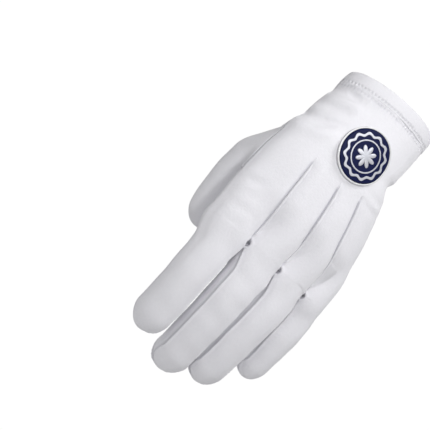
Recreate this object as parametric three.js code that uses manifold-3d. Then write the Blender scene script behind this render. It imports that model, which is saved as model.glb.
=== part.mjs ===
// White cloth parade glove for the left hand, in its worn form.
// Millimetres, +Z up: the cuff is at the top, the fingers point down, the back of the hand faces -Y
// and the thumb side is -X. The origin is the middle of the wrist opening.
import * as THREE from 'three';
import Module from 'manifold-3d';

// Driving sizes of the cloth
const wallThickness = 1.2;
const hemThickness = 2.4;
const seamGap = 0.3;
const cutClearance = 0.23;

// Driving sizes of the hand
const wristWidth = 67;
const wristDepth = 45;
const knuckleWidth = 100;
const knuckleDepth = 28;
const palmLength = 119;
const hemWidth = 10;
const cuffLean = 16;
const leanLength = 46;
const fingerLength = 90.5;
const fingerWidth = 26;
const fingerDepth = 21.5;
const fingerCap = 15;
const stripAngle = 57;
const crotchDepth = 10;

// Driving sizes of the thumb
const thumbWidth = 25;
const thumbDepth = 23;
const thumbReach = 50;
const openingTop = 48;
const openingLength = 40;
const openingAngle = 62;

// Driving sizes of the tucks and of the badge
const tuckWidth = 1.8;
const tuckHeight = 1.3;
const tuckEnd = 112;
const badgeDiameter = 34.6;
const badgeDrop = 40.5;
const badgeSide = 2.7;
const badgeRimWidth = 1.1;
const badgeRimHeight = 2.1;
const badgeBackThickness = 0.7;
const badgeFieldThickness = 0.6;
const badgeLineHeight = 0.4;
const badgeRingDiameter = 19;
const badgeRingWidth = 0.8;
const badgeBorderDiameter = 25.6;
const badgeBorderWidth = 1.6;
const badgeBorderWave = 0.7;
const badgeBorderLobes = 12;
const badgeMotifDiameter = 13.6;
const badgeMotifWaist = 5.2;
const badgeMotifPetals = 8;

// Counts of rows and columns in the cloth's surface
const stripColumns = 5;
const sideColumns = 4;
const capRows = 4;
const badgeSegments = 48;

// A corner of a piece wider than slitAngle degrees is the end of a slit. It backs out of it by
// slitReach times the seam's gap.
const slitAngle = 234;
const slitReach = 3;

// Sections of the hand from the wrist to the crotches. at: share of palmLength, shift: share of
// knuckleWidth, spread: 0 as wide as the wrist and 1 as wide as the knuckles, thin: 0 as deep as
// the wrist and 1 as deep as the knuckles, arch: share of knuckleDepth by which the little-finger
// side lies further to the palm, one, two, three: where the lines between the fingers run, as
// shares of the half width.
const handSections = [
  { at: 0.0, shift: 0.0, spread: 0.0, thin: 0.0, arch: 0.0, one: -0.58, two: -0.04, three: 0.42 },
  { at: 0.21, shift: -0.04, spread: 0.118, thin: 0.105, arch: 0.0, one: -0.555, two: -0.04, three: 0.4 },
  { at: 0.336, shift: -0.08, spread: 0.19, thin: 0.21, arch: 0.0, one: -0.53, two: -0.03, three: 0.4 },
  { at: 0.42, shift: -0.072, spread: 0.376, thin: 0.26, arch: 0.03, one: -0.493, two: -0.01, three: 0.413 },
  { at: 0.58, shift: -0.041, spread: 0.71, thin: 0.42, arch: 0.1, one: -0.464, two: 0.04, three: 0.462 },
  { at: 0.8, shift: 0.001, spread: 1.0, thin: 0.68, arch: 0.25, one: -0.449, two: 0.068, three: 0.532 },
  { at: 1.0, shift: 0.03, spread: 1.1, thin: 0.9, arch: 0.36, one: -0.405, two: 0.106, three: 0.588 },
];

// The fingers. x, tipX: shares of knuckleWidth, sink, tipSink: how far the middle of the section
// lies to the palm, as shares of knuckleDepth, width, depth, length: shares of the middle finger's.
const fingers = [
  { name: 'index', x: -0.309, tipX: -0.281, sink: 0.08, tipSink: 0.27, width: 1.0, depth: 1.0, length: 0.872 },
  { name: 'middle', x: -0.031, tipX: -0.003, sink: 0.0, tipSink: 0.42, width: 1.0, depth: 1.0, length: 1.0 },
  { name: 'ring', x: 0.231, tipX: 0.235, sink: 0.115, tipSink: 0.5, width: 0.935, depth: 0.95, length: 0.898 },
  { name: 'little', x: 0.455, tipX: 0.484, sink: 0.36, tipSink: 0.71, width: 0.77, depth: 0.84, length: 0.653 },
];

// The crotches between them. x: share of knuckleWidth.
const crotches = [{ x: -0.18 }, { x: 0.085 }, { x: 0.335 }];

// The tucks that run up from the crotches. top: where each starts, as a share of palmLength.
const tucks = [{ top: 0.475 }, { top: 0.5 }, { top: 0.475 }];

// Soft folds of the cuff. drop: share of palmLength below the opening, angle: degrees from the
// thumb side over the back of the hand, reach: degrees, width and depth: shares of wristDepth.
const cuffFolds = [
  { drop: 0.14, angle: 0, reach: 55, width: 0.1, depth: 0.025 },
  { drop: 0.32, angle: 10, reach: 60, width: 0.11, depth: 0.03 },
  { drop: 0.35, angle: 180, reach: 45, width: 0.08, depth: 0.035 },
  { drop: 0.2, angle: 250, reach: 50, width: 0.12, depth: 0.03 },
  { drop: 0.36, angle: 270, reach: 60, width: 0.11, depth: 0.035 },
];

// Middle line of the thumb below its opening. x: share of knuckleWidth, y: share of wristDepth,
// z: share of thumbReach below the start.
const thumbLine = [
  { x: -0.405, y: 0.2, z: 0.0 },
  { x: -0.395, y: 0.33, z: 0.27 },
  { x: -0.365, y: 0.44, z: 0.62 },
  { x: -0.33, y: 0.5, z: 1.0 },
];

// Plain functions
const radians = Math.PI / 180;
const mix = (a, b, t) => a + (b - a) * t;
const clamp = (t) => Math.min(1, Math.max(0, t));
const smooth = (t) => clamp(t) ** 2 * (3 - 2 * clamp(t));
const bump = (t) => Math.exp(-t * t);
const range = (count) => Array.from({ length: count + 1 }, (unused, i) => i / count);

// Smooth curve through a table's column, with the slope of the neighbours at each row
function along(table, at, column) {
  let i = 0;
  while (i < table.length - 2 && at > table[i + 1].at) i += 1;
  const [a, b] = [table[i], table[i + 1]];
  const [before, after] = [table[Math.max(0, i - 1)], table[Math.min(table.length - 1, i + 2)]];
  const step = b.at - a.at;
  const t = (at - a.at) / step;
  const slopeA = ((b[column] - before[column]) / (b.at - before.at)) * step;
  const slopeB = ((after[column] - a[column]) / (after.at - a.at)) * step;
  const [t2, t3] = [t * t, t * t * t];
  return (2 * t3 - 3 * t2 + 1) * a[column] + (t3 - 2 * t2 + t) * slopeA
    + (3 * t2 - 2 * t3) * b[column] + (t3 - t2) * slopeB;
}

// The line through the middle of the hand leans back above the wrist
function middleOfHand(drop) {
  const lean = Math.tan(cuffLean * radians);
  const softness = leanLength / 8;
  const past = (drop - leanLength) / softness;
  return -lean * (drop - softness * Math.log(1 + Math.exp(Math.min(past, 30))) - Math.max(0, past - 30) * softness);
}

// A point of a level section: x across, q from the back to the palm, in the leaning plane
function handPoint(x, q, drop) {
  const lean = cuffLean * radians;
  return new THREE.Vector3(x, middleOfHand(drop) + q * Math.cos(lean), -drop - q * Math.sin(lean));
}

// Half-open ellipse of the hand: angle 0 is the thumb side, 90 the back, 180 the little-finger side
function handEllipse(at, angle) {
  const drop = at * palmLength;
  const shift = along(handSections, at, 'shift') * knuckleWidth;
  const halfWidth = mix(wristWidth, knuckleWidth, along(handSections, at, 'spread')) / 2;
  const halfDepth = mix(wristDepth, knuckleDepth, along(handSections, at, 'thin')) / 2;
  const side = -Math.cos(angle);
  const arch = along(handSections, at, 'arch') * knuckleDepth * Math.max(0, side) ** 2;
  let swell = 1;
  for (const fold of cuffFolds) {
    const turn = Math.abs(((angle / radians - fold.angle + 540) % 360) - 180);
    const distance = (at - fold.drop) * palmLength;
    const size = fold.depth * bump(turn / fold.reach);
    swell -= size * bump(distance / (fold.width * wristDepth));
    swell += 0.5 * size * bump((distance - 1.8 * fold.width * wristDepth) / (fold.width * wristDepth));
  }
  return { x: shift + halfWidth * side * swell, q: arch - halfDepth * Math.sin(angle) * swell, drop };
}

// Where the crotch between two fingers meets the back (side -1) and the palm (side 1)
function crotchCorner(i, side) {
  const middle = (fingers[i].sink + fingers[i + 1].sink) / 2;
  return { x: crotches[i].x * knuckleWidth, q: middle * knuckleDepth + side * crotchDepth / 2 };
}

// Outer corners of the first and the last finger at the crotches' level
function outerCorner(i, side) {
  const edge = handEllipse(1, i === 0 ? 0 : Math.PI).x;
  const inward = (1 - Math.sin(stripAngle * radians)) * fingerWidth / 2;
  const x = i === 0 ? edge + inward : edge - inward;
  return { x, q: fingers[i].sink * knuckleDepth + side * crotchDepth / 2, edge };
}

// Section of a finger at the crotches' level, as arcs between its corners
function rootPoint(i, turn) {
  const finger = fingers[i];
  const sink = finger.sink * knuckleDepth;
  const side = Math.cos(turn) > 0 ? -1 : 1;
  const strip = stripAngle * radians;
  const left = i === 0 ? outerCorner(i, side) : crotchCorner(i - 1, side);
  const right = i === fingers.length - 1 ? outerCorner(i, side) : crotchCorner(i, side);
  const across = Math.sin(turn) / Math.sin(strip);
  if (Math.abs(across) <= 1 + 1e-9) {
    const rise = (Math.abs(Math.cos(turn)) - Math.cos(strip)) / (1 - Math.cos(strip));
    const base = mix(left.q, right.q, (across + 1) / 2);
    const crown = sink + side * knuckleDepth / 2;
    return { x: mix(left.x, right.x, (across + 1) / 2), q: mix(base, crown, rise) };
  }
  const [open, near] = turn > 0 ? [i === fingers.length - 1, right] : [i === 0, left];
  const share = Math.abs(Math.cos(turn)) / Math.cos(strip);
  if (open) {
    const out = (Math.abs(Math.sin(turn)) - Math.sin(strip)) / (1 - Math.sin(strip));
    return { x: mix(near.x, near.edge, out), q: mix(sink, near.q, share) };
  }
  const crease = turn > 0 ? i : i - 1;
  const [back, palm] = [crotchCorner(crease, -1), crotchCorner(crease, 1)];
  return { x: near.x, q: mix((back.q + palm.q) / 2, side < 0 ? back.q : palm.q, share) };
}

// Rows of a finger: how far along its length, how round the cap is, and the seams' angle there
function fingerRows(finger) {
  const length = finger.length * fingerLength;
  const cap = fingerCap * finger.width;
  const tube = [0, 0.03, 0.08, 0.16, 0.3, 0.5, 0.75, 1].map((s) => ({ reach: s * (length - cap), round: 0 }));
  const caps = range(capRows).slice(1).map((t) => ({ reach: length - cap, round: (t * Math.PI) / 2 }));
  return [...tube, ...caps].map((row) => {
    const open = clamp(row.round / (Math.PI / 2) / ((capRows - 1) / capRows));
    return { ...row, strip: mix(stripAngle, 90, open) * radians };
  });
}

// A point of a finger. turn: angle from the back, positive to the little-finger side
function fingerPoint(i, row, turn) {
  const finger = fingers[i];
  const length = finger.length * fingerLength;
  const cap = fingerCap * finger.width;
  const s = row.reach / length;
  const poleTilt = 38 * radians * (row.round / (Math.PI / 2)) ** 1.5;
  const [ring, ahead] = [Math.cos(row.round), Math.sin(row.round)];
  const halfWidth = (finger.width * fingerWidth / 2) * (1.03 - 0.09 * s);
  const halfDepth = (finger.depth * fingerDepth / 2) * (1.04 - 0.1 * s);
  const depthShare = -Math.cos(turn) * ring * Math.cos(poleTilt) - ahead * Math.sin(poleTilt);
  const capShare = ahead * Math.cos(poleTilt) - Math.cos(turn) * ring * Math.sin(poleTilt);
  let x = Math.sin(turn) * ring * halfWidth;
  let q = depthShare * halfDepth;
  const x0 = finger.x * knuckleWidth;
  const sink0 = finger.sink * knuckleDepth;
  const join = smooth(s / 0.2);
  if (join < 1) {
    const root = rootPoint(i, turn);
    x = mix(root.x - x0, x, join);
    q = mix(root.q - sink0, q, join);
  }
  const curl = (finger.tipSink - finger.sink) * knuckleDepth;
  const tilt = mix(cuffLean * radians, -Math.atan((2 * curl * s) / length), smooth(s / 0.3));
  const centre = handPoint(x0, sink0, palmLength);
  centre.x += (finger.tipX - finger.x) * knuckleWidth * s;
  centre.y += curl * s * s;
  centre.z -= row.reach;
  const bend = Math.atan((2 * curl * s) / length);
  const forward = capShare * cap;
  return new THREE.Vector3(
    centre.x + x,
    centre.y + q * Math.cos(tilt) + forward * Math.sin(bend),
    centre.z - q * Math.sin(tilt) - forward * Math.cos(bend),
  );
}

// The cloth's whole outer surface, in shared points, with each face given to one piece
const cloth = { points: [], found: new Map(), faces: [] };

function pointIndex(point) {
  const key = point.toArray().map((value) => Math.round(value * 2000)).join(' ');
  if (!cloth.found.has(key)) {
    cloth.found.set(key, cloth.points.length);
    cloth.points.push(point.clone());
  }
  return cloth.found.get(key);
}

// Rows run away from the wrist, columns run from the thumb side over the back and round the palm
function addGrid(piece, rows) {
  const grid = rows.map((row) => row.map(pointIndex));
  for (let i = 0; i < grid.length - 1; i += 1) {
    for (let j = 0; j < grid[i].length - 1; j += 1) {
      const quad = [grid[i][j], grid[i + 1][j], grid[i + 1][j + 1], grid[i][j + 1]];
      for (const face of [[quad[0], quad[1], quad[2]], [quad[0], quad[2], quad[3]]]) {
        if (new Set(face).size === 3) cloth.faces.push({ piece, face });
      }
    }
  }
  return grid;
}

// Angles of a finger's columns at one row
function fingerTurns(strip) {
  const back = range(stripColumns).map((t) => mix(-strip, strip, t));
  const side = range(sideColumns).map((t) => mix(strip, Math.PI - strip, t));
  const palm = range(stripColumns).map((t) => mix(Math.PI - strip, Math.PI + strip, t));
  return { back, side, palm };
}

// One row of a finger in four stretches, all in the columns' running direction
function fingerStretches(i, row) {
  const turns = fingerTurns(row.strip);
  const place = (turn) => fingerPoint(i, row, turn > Math.PI ? turn - 2 * Math.PI : turn);
  return {
    back: turns.back.map(place),
    outer: turns.side.map(place),
    palm: turns.palm.map(place),
    inner: turns.side.map((turn) => place(-turn)).reverse(),
  };
}

function addFinger(i) {
  const rows = fingerRows(fingers[i]).map((row) => fingerStretches(i, row));
  const half = sideColumns / 2;
  addGrid('back_panel', rows.map((row) => row.back));
  addGrid('palm_panel', rows.map((row) => row.palm));
  if (i === 0) {
    addGrid('palm_panel', rows.map((row) => row.inner.slice(0, half + 1)));
    addGrid('back_panel', rows.map((row) => row.inner.slice(half)));
  } else {
    addGrid(`fourchette_${fingers[i - 1].name}_${fingers[i].name}`, rows.map((row) => row.inner));
  }
  if (i === fingers.length - 1) {
    addGrid('back_panel', rows.map((row) => row.outer.slice(0, half + 1)));
    addGrid('palm_panel', rows.map((row) => row.outer.slice(half)));
  } else {
    addGrid(`fourchette_${fingers[i].name}_${fingers[i + 1].name}`, rows.map((row) => row.outer));
  }
}

// Turns of the columns over one half of the hand, from the thumb side to the little-finger side
const halfHand = fingers.flatMap((finger, i) => {
  const turns = range(stripColumns).map((t) => mix(-stripAngle, stripAngle, t) * radians);
  const side = range(sideColumns / 2).map((t) => mix(90, stripAngle, t) * radians);
  const first = i === 0 ? side.map((turn) => -turn).slice(0, -1) : [];
  const last = i === fingers.length - 1 ? [...side].reverse().slice(1) : [];
  const own = i === 0 ? turns : turns.slice(1);
  return [...first, ...own, ...last].map((turn) => ({ i, turn }));
});
const firstTuckColumn = sideColumns / 2 + stripColumns;

// Angle on the hand's ellipse of one column: the lines between the fingers are fixed, and the
// columns between two lines are spread evenly
function columnAngle(at, column) {
  const lines = ['one', 'two', 'three'].map((name) => Math.acos(-along(handSections, at, name)));
  const knots = [0, ...lines, Math.PI];
  const marks = [0, ...[0, 1, 2].map((k) => firstTuckColumn + k * stripColumns), halfHand.length - 1];
  let k = 0;
  while (k < marks.length - 2 && column > marks[k + 1]) k += 1;
  return mix(knots[k], knots[k + 1], (column - marks[k]) / (marks[k + 1] - marks[k]));
}

// A point of the hand between the wrist and the crotches. side: 1 the back, -1 the palm. Towards
// the crotches the smooth section takes the fingers' own arcs.
function palmPoint(at, column, side) {
  const open = side < 0 ? thumbOpening(at) : 0;
  const angle = open + (1 - open / Math.PI) * columnAngle(at, column);
  const smoothPoint = handEllipse(at, side * angle);
  const { i, turn } = halfHand[column];
  const root = rootPoint(i, side > 0 ? turn : Math.sign(turn || 1) * Math.PI - turn);
  const share = smooth((at - 0.72) / 0.28);
  return handPoint(mix(smoothPoint.x, root.x, share), mix(smoothPoint.q, root.q, share), smoothPoint.drop);
}

// Half angle by which the palm's edge stands back from the thumb side
function thumbOpening(at) {
  const share = clamp((at * palmLength - openingTop) / openingLength);
  return openingAngle * radians * Math.sin(Math.PI * share);
}

const hemEnd = hemWidth / palmLength;
const openingStart = openingTop / palmLength;
const openingEnd = (openingTop + openingLength) / palmLength;
const handRows = {
  hem: range(1).map((t) => mix(0, hemEnd, t)),
  cuff: range(6).map((t) => mix(hemEnd, openingStart, t)),
  thumb: range(9).map((t) => mix(openingStart, openingEnd, t)),
  root: range(4).map((t) => mix(openingEnd, 1, t)),
};
const bodyRows = [...handRows.cuff, ...handRows.thumb.slice(1), ...handRows.root.slice(1)];
const columns = halfHand.map((unused, column) => column);
const backRow = (at) => columns.map((column) => palmPoint(at, column, 1));
const palmRow = (at) => columns.map((column) => palmPoint(at, column, -1)).reverse();

// The thumb: curves leave the opening's rim and end on the first ring of the thumb's tube
const thumbCurve = new THREE.CatmullRomCurve3(thumbLine.map((knot) => new THREE.Vector3(
  knot.x * knuckleWidth,
  knot.y * wristDepth,
  -(openingTop + 0.8 * openingLength) - knot.z * thumbReach,
)));

function thumbRing(t, round, count) {
  const cap = thumbDepth / 2;
  const tip = thumbCurve.getLength() - cap;
  const centre = thumbCurve.getPointAt(t * tip / thumbCurve.getLength());
  const ahead = thumbCurve.getTangentAt(t * tip / thumbCurve.getLength());
  const outward = new THREE.Vector3(-0.45, 0.9, 0).addScaledVector(ahead, -ahead.dot(new THREE.Vector3(-0.45, 0.9, 0)));
  outward.normalize();
  const sideways = new THREE.Vector3().crossVectors(ahead, outward).normalize();
  if (sideways.x > 0) sideways.negate();
  centre.addScaledVector(ahead, cap * Math.sin(round));
  return range(count).slice(0, -1).map((share) => {
    const turn = share * 2 * Math.PI;
    return centre.clone()
      .addScaledVector(outward, Math.cos(turn) * (thumbDepth / 2) * Math.cos(round) * (1.04 - 0.1 * t))
      .addScaledVector(sideways, Math.sin(turn) * (thumbWidth / 2) * Math.cos(round) * (1.04 - 0.1 * t));
  });
}

function addThumb() {
  const front = handRows.thumb.map((at) => ({ at, angle: 0, turn: -1 }));
  const rear = handRows.thumb.map((at) => ({ at, angle: -thumbOpening(at), turn: 1 }));
  const knots = [...front, ...rear.slice(1, -1).reverse()];
  const place = ({ at, angle }) => {
    const flat = handEllipse(at, angle);
    return handPoint(flat.x, flat.q, flat.drop);
  };
  const rim = [...handRows.thumb.map((at) => palmPoint(at, 0, 1)),
    ...handRows.thumb.map((at) => palmPoint(at, 0, -1)).slice(1, -1).reverse()];
  const onward = knots.map((knot) => place({ at: knot.at, angle: knot.angle + knot.turn * 0.02 })
    .sub(place(knot)).normalize());
  const hub = rim.reduce((sum, point) => sum.add(point), new THREE.Vector3()).divideScalar(rim.length);
  const first = thumbRing(0, 0, rim.length);
  const ahead = thumbCurve.getTangentAt(0);
  const outward = new THREE.Vector3(-0.55, 0.83, 0);
  const blend = range(5).slice(0, -1).map((t) => rim.map((start, j) => {
    const end = first[j];
    const span = start.distanceTo(end);
    const web = 0.5 - 0.5 * Math.cos((2 * Math.PI * j) / rim.length);
    const corner = Math.abs(Math.cos((2 * Math.PI * j) / rim.length));
    const middle = hub.clone().sub(start);
    middle.addScaledVector(outward, -middle.dot(outward)).normalize();
    const leave = middle.multiplyScalar(corner * mix(0.8, 0.1, web))
      .addScaledVector(onward[j], 1 - corner ** 2)
      .addScaledVector(outward, mix(0.05, 0.9, web)).multiplyScalar(span * 0.8);
    const arrive = ahead.clone().multiplyScalar(span * mix(1, 0.4, web));
    const [t2, t3] = [t * t, t * t * t];
    return new THREE.Vector3()
      .addScaledVector(start, 2 * t3 - 3 * t2 + 1)
      .addScaledVector(leave, t3 - 2 * t2 + t)
      .addScaledVector(end, 3 * t2 - 2 * t3)
      .addScaledVector(arrive, t3 - t2);
  }));
  const tube = [0, 0.3, 0.65, 1].map((t) => thumbRing(t, 0, rim.length));
  const cap = range(capRows).slice(1).map((t) => thumbRing(1, (t * Math.PI) / 2, rim.length));
  addGrid('thumb_piece', [...blend, ...tube, ...cap].map((row) => [...row, row[0]].reverse()));
}

addGrid('cuff_hem', handRows.hem.map((at) => [...backRow(at), ...palmRow(at).slice(1)]));
const backGrid = addGrid('back_panel', bodyRows.map(backRow));
addGrid('palm_panel', bodyRows.map(palmRow));
fingers.forEach((finger, i) => addFinger(i));
addThumb();

// Outward direction at each point of the cloth, weighted by the faces' areas. At a fourchette's
// seams the panel's faces alone set it.
const outward = cloth.points.map(() => new THREE.Vector3());
const onPanel = new Set();
const panelsFirst = [...cloth.faces].sort((a, b) => a.piece.startsWith('fourchette') - b.piece.startsWith('fourchette'));
for (const { piece, face } of panelsFirst) {
  const isFourchette = piece.startsWith('fourchette');
  const [a, b, c] = face.map((k) => cloth.points[k]);
  const normal = b.clone().sub(a).cross(c.clone().sub(a));
  for (const k of face) {
    if (!isFourchette) onPanel.add(k);
    if (!isFourchette || !onPanel.has(k)) outward[k].add(normal);
  }
}
outward.forEach((normal) => normal.normalize());

// Edges that only one face of the piece has, in the face's direction, with the face's third point
function openEdges(faces) {
  const edges = new Map();
  for (const face of faces) {
    face.forEach((from, k) => {
      const to = face[(k + 1) % 3];
      const across = face[(k + 2) % 3];
      if (!edges.delete(`${to} ${from}`)) edges.set(`${from} ${to}`, { from, to, across });
    });
  }
  return [...edges.values()];
}

// Points on the seams of the fourchettes
const onFourchette = new Set(cloth.faces.filter(({ piece }) => piece.startsWith('fourchette')).flatMap(({ face }) => face));

// Sum of the faces' angles at each point
function cornerAngles(faces) {
  const angles = new Map();
  for (const face of faces) {
    face.forEach((k, turn) => {
      const one = cloth.points[face[(turn + 1) % 3]].clone().sub(cloth.points[k]);
      const other = cloth.points[face[(turn + 2) % 3]].clone().sub(cloth.points[k]);
      angles.set(k, (angles.get(k) ?? 0) + one.angleTo(other));
    });
  }
  return angles;
}

// How far each edge point moves into its piece. Two sewn pieces share the seam's gap, but at a
// fourchette's seam the panel leaves all of it. At the end of a slit the point backs out of it.
function seamShifts(name, faces, edges, swell) {
  const isFourchette = name.startsWith('fourchette');
  const angles = cornerAngles(faces);
  const inward = new Map();
  for (const { from, to, across } of edges) {
    const line = cloth.points[to].clone().sub(cloth.points[from]).normalize();
    const side = cloth.points[across].clone().sub(cloth.points[from]);
    side.addScaledVector(line, -side.dot(line)).normalize();
    for (const k of [from, to]) {
      if (!inward.has(k)) inward.set(k, { sides: [], away: new THREE.Vector3() });
      inward.get(k).sides.push(side);
      inward.get(k).away.addScaledVector(line, k === to ? 1 : -1);
    }
  }
  const shifts = new Map();
  for (const [k, { sides, away }] of inward) {
    const sum = sides.reduce((total, side) => total.add(side), new THREE.Vector3());
    const slit = angles.get(k) > slitAngle * radians;
    const direction = slit ? away : sum;
    const length = slit ? slitReach : Math.min(2.2, 2 / Math.max(sum.length(), 0.5));
    const share = onFourchette.has(k) ? Number(!isFourchette) : 0.5;
    shifts.set(k, direction.clone().normalize().multiplyScalar(length * (share * seamGap - swell)));
  }
  return shifts;
}

function meshOf(name, points, faces, colour, roughness, metalness) {
  const geometry = new THREE.BufferGeometry();
  geometry.setAttribute('position', new THREE.Float32BufferAttribute(points.flatMap((p) => p.toArray()), 3));
  geometry.setIndex(faces.flat());
  geometry.computeVertexNormals();
  const material = new THREE.MeshStandardMaterial({ color: colour, roughness, metalness });
  const mesh = new THREE.Mesh(geometry, material);
  mesh.name = name;
  return mesh;
}

// The wall of one piece of cloth: outer faces, inner faces and the rim between them. Both pieces
// at a seam split the rim's faces the same way. swell: how much larger it is made on every side.
function clothWall(name, thickness, swell) {
  const faces = cloth.faces.filter((entry) => entry.piece === name).map((entry) => entry.face);
  const edges = openEdges(faces);
  const shifts = seamShifts(name, faces, edges, swell);
  const used = [...new Set(faces.flat())];
  const place = new Map(used.map((k, i) => [k, i]));
  const middle = used.map((k) => (shifts.has(k) ? cloth.points[k].clone().add(shifts.get(k)) : cloth.points[k]));
  const outer = used.map((k, i) => middle[i].clone().addScaledVector(outward[k], swell));
  const inner = used.map((k, i) => middle[i].clone().addScaledVector(outward[k], -thickness - swell));
  const count = used.length;
  const outside = faces.map((face) => face.map((k) => place.get(k)));
  const inside = outside.map(([a, b, c]) => [a + count, c + count, b + count]);
  const rim = edges.flatMap(({ from, to }) => {
    const [a, b] = [place.get(from), place.get(to)];
    if (from < to) return [[b, a, a + count], [b, a + count, b + count]];
    return [[b, a, b + count], [a, a + count, b + count]];
  });
  return { points: [...outer, ...inner], faces: [...outside, ...inside, ...rim] };
}

// A wall as a solid that can be cut
const wasm = await Module();
wasm.setup();

function solidOf({ points, faces }) {
  return new wasm.Manifold(new wasm.Mesh({
    numProp: 3,
    vertProperties: Float32Array.from(points.flatMap((point) => point.toArray())),
    triVerts: Uint32Array.from(faces.flat()),
  }));
}

// One piece of cloth. Where a neighbour's seam is folded tightly, the piece is cut clear of it.
function clothPiece(name, thickness, neighbours = []) {
  let solid = solidOf(clothWall(name, thickness, 0));
  for (const neighbour of neighbours) {
    solid = solid.subtract(solidOf(clothWall(neighbour, wallThickness, cutClearance)));
  }
  const largest = solid.decompose().reduce((a, b) => (b.volume() > a.volume() ? b : a));
  const { vertProperties, triVerts } = largest.getMesh();
  const points = [];
  for (let k = 0; k < vertProperties.length; k += 3) {
    points.push(new THREE.Vector3(...vertProperties.subarray(k, k + 3)));
  }
  return meshOf(name, points, [Array.from(triVerts)], 0xe9e8ef, 0.88, 0);
}

// A raised tuck on the line between two fingers. Its foot follows the cloth on both sides.
function tuck(name, column, top) {
  const rows = bodyRows.map((at, i) => i)
    .filter((i) => bodyRows[i] >= top && bodyRows[i] * palmLength <= tuckEnd);
  const points = [];
  rows.forEach((i, step) => {
    const ids = [-1, 0, 1].map((k) => backGrid[i][column + k]);
    const [before, here, after] = ids.map((k) => cloth.points[k]);
    const up = outward[ids[1]];
    const rise = tuckHeight * (step === 0 ? 0.35 : 1);
    const foot = (towards, share) => here.clone()
      .lerp(towards, (share * tuckWidth) / 2 / here.distanceTo(towards)).addScaledVector(up, seamGap * 1.2);
    points.push(foot(before, 1), foot(here.clone().addScaledVector(up, 1), 0), foot(after, 1));
    points.push(foot(after, 0.8).addScaledVector(up, 0.6 * rise));
    points.push(foot(after, 0.25).addScaledVector(up, rise));
    points.push(foot(before, 0.8).addScaledVector(up, 0.6 * rise));
  });
  const ring = 6;
  const faces = [];
  for (let row = 0; row < rows.length - 1; row += 1) {
    for (let k = 0; k < ring; k += 1) {
      const [a, b] = [row * ring + k, row * ring + ((k + 1) % ring)];
      faces.push([a, b, b + ring], [a, b + ring, a + ring]);
    }
  }
  const last = (rows.length - 1) * ring;
  const crown = 4;
  for (let k = 1; k < ring - 1; k += 1) {
    const [a, b] = [(crown + k) % ring, (crown + k + 1) % ring];
    faces.push([crown, b, a], [last + crown, last + a, last + b]);
  }
  return meshOf(name, points, faces, 0xeeedf3, 0.85, 0);
}

// The badge lies over the back of the cuff: a place on it is taken to the cloth's surface, and
// height is measured from there
function badgePoint(radius, turn, height) {
  const lean = Math.cos(cuffLean * radians);
  const place = (x, drop) => {
    const at = drop / palmLength;
    const middle = along(handSections, at, 'shift') * knuckleWidth;
    const halfWidth = mix(wristWidth, knuckleWidth, along(handSections, at, 'spread')) / 2;
    const angle = Math.acos(THREE.MathUtils.clamp((middle - x) / halfWidth, -1, 1));
    const point = handEllipse(at, angle);
    return handPoint(point.x, point.q, point.drop);
  };
  const x = radius * Math.sin(turn) + badgeSide + along(handSections, badgeDrop / palmLength, 'shift') * knuckleWidth;
  const drop = badgeDrop - radius * Math.cos(turn) * lean;
  const here = place(x, drop);
  const right = place(x + 1, drop).sub(here);
  const down = place(x, drop + 1).sub(here);
  return here.addScaledVector(down.cross(right).normalize(), height);
}

// A solid turned about the badge's middle. profile: closed list of { radius, height } that may
// start and end on the axis, scale: how the radius grows and shrinks round the turn
function badgeSolid(name, profile, colour, roughness, metalness, scale = () => 1) {
  const onAxis = profile[0].radius === 0;
  const body = onAxis ? profile.slice(1, -1) : profile;
  const points = [];
  const faces = [];
  for (let k = 0; k < badgeSegments; k += 1) {
    const turn = (k / badgeSegments) * 2 * Math.PI;
    body.forEach(({ radius, height }) => points.push(badgePoint(radius * scale(turn), turn, height)));
  }
  const next = (k) => (k + 1) % badgeSegments;
  const spans = onAxis ? body.length - 1 : body.length;
  for (let k = 0; k < badgeSegments; k += 1) {
    for (let m = 0; m < spans; m += 1) {
      const n = (m + 1) % body.length;
      const [a, b] = [k * body.length + m, k * body.length + n];
      const [c, d] = [next(k) * body.length + n, next(k) * body.length + m];
      faces.push([a, b, c], [a, c, d]);
    }
  }
  if (onAxis) {
    const [start, end] = [points.length, points.length + 1];
    points.push(badgePoint(0, 0, profile[0].height), badgePoint(0, 0, profile[profile.length - 1].height));
    for (let k = 0; k < badgeSegments; k += 1) {
      faces.push([start, k * body.length, next(k) * body.length]);
      faces.push([end, (next(k) + 1) * body.length - 1, (k + 1) * body.length - 1]);
    }
  }
  return meshOf(name, points, faces, colour, roughness, metalness);
}

const badgeSeat = seamGap + 0.1;
const fieldFoot = badgeSeat + badgeBackThickness + seamGap;
const fieldTop = fieldFoot + badgeFieldThickness;
const lineFoot = fieldTop + seamGap;
const outerRadius = badgeDiameter / 2;
const innerRadius = outerRadius - badgeRimWidth;

const badgeRim = badgeSolid('badge_rim', [
  { radius: 0, height: badgeSeat },
  { radius: outerRadius * 0.5, height: badgeSeat },
  { radius: outerRadius, height: badgeSeat },
  { radius: outerRadius, height: badgeRimHeight },
  { radius: innerRadius, height: badgeRimHeight },
  { radius: innerRadius, height: badgeSeat + badgeBackThickness },
  { radius: outerRadius * 0.5, height: badgeSeat + badgeBackThickness },
  { radius: 0, height: badgeSeat + badgeBackThickness },
], 0xd9d9d6, 0.35, 0.6);

const badgeField = badgeSolid('badge_field', [
  { radius: 0, height: fieldFoot },
  { radius: outerRadius * 0.5, height: fieldFoot },
  { radius: innerRadius - seamGap, height: fieldFoot },
  { radius: innerRadius - seamGap, height: fieldTop },
  { radius: outerRadius * 0.5, height: fieldTop },
  { radius: 0, height: fieldTop },
], 0x212952, 0.4, 0);

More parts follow.
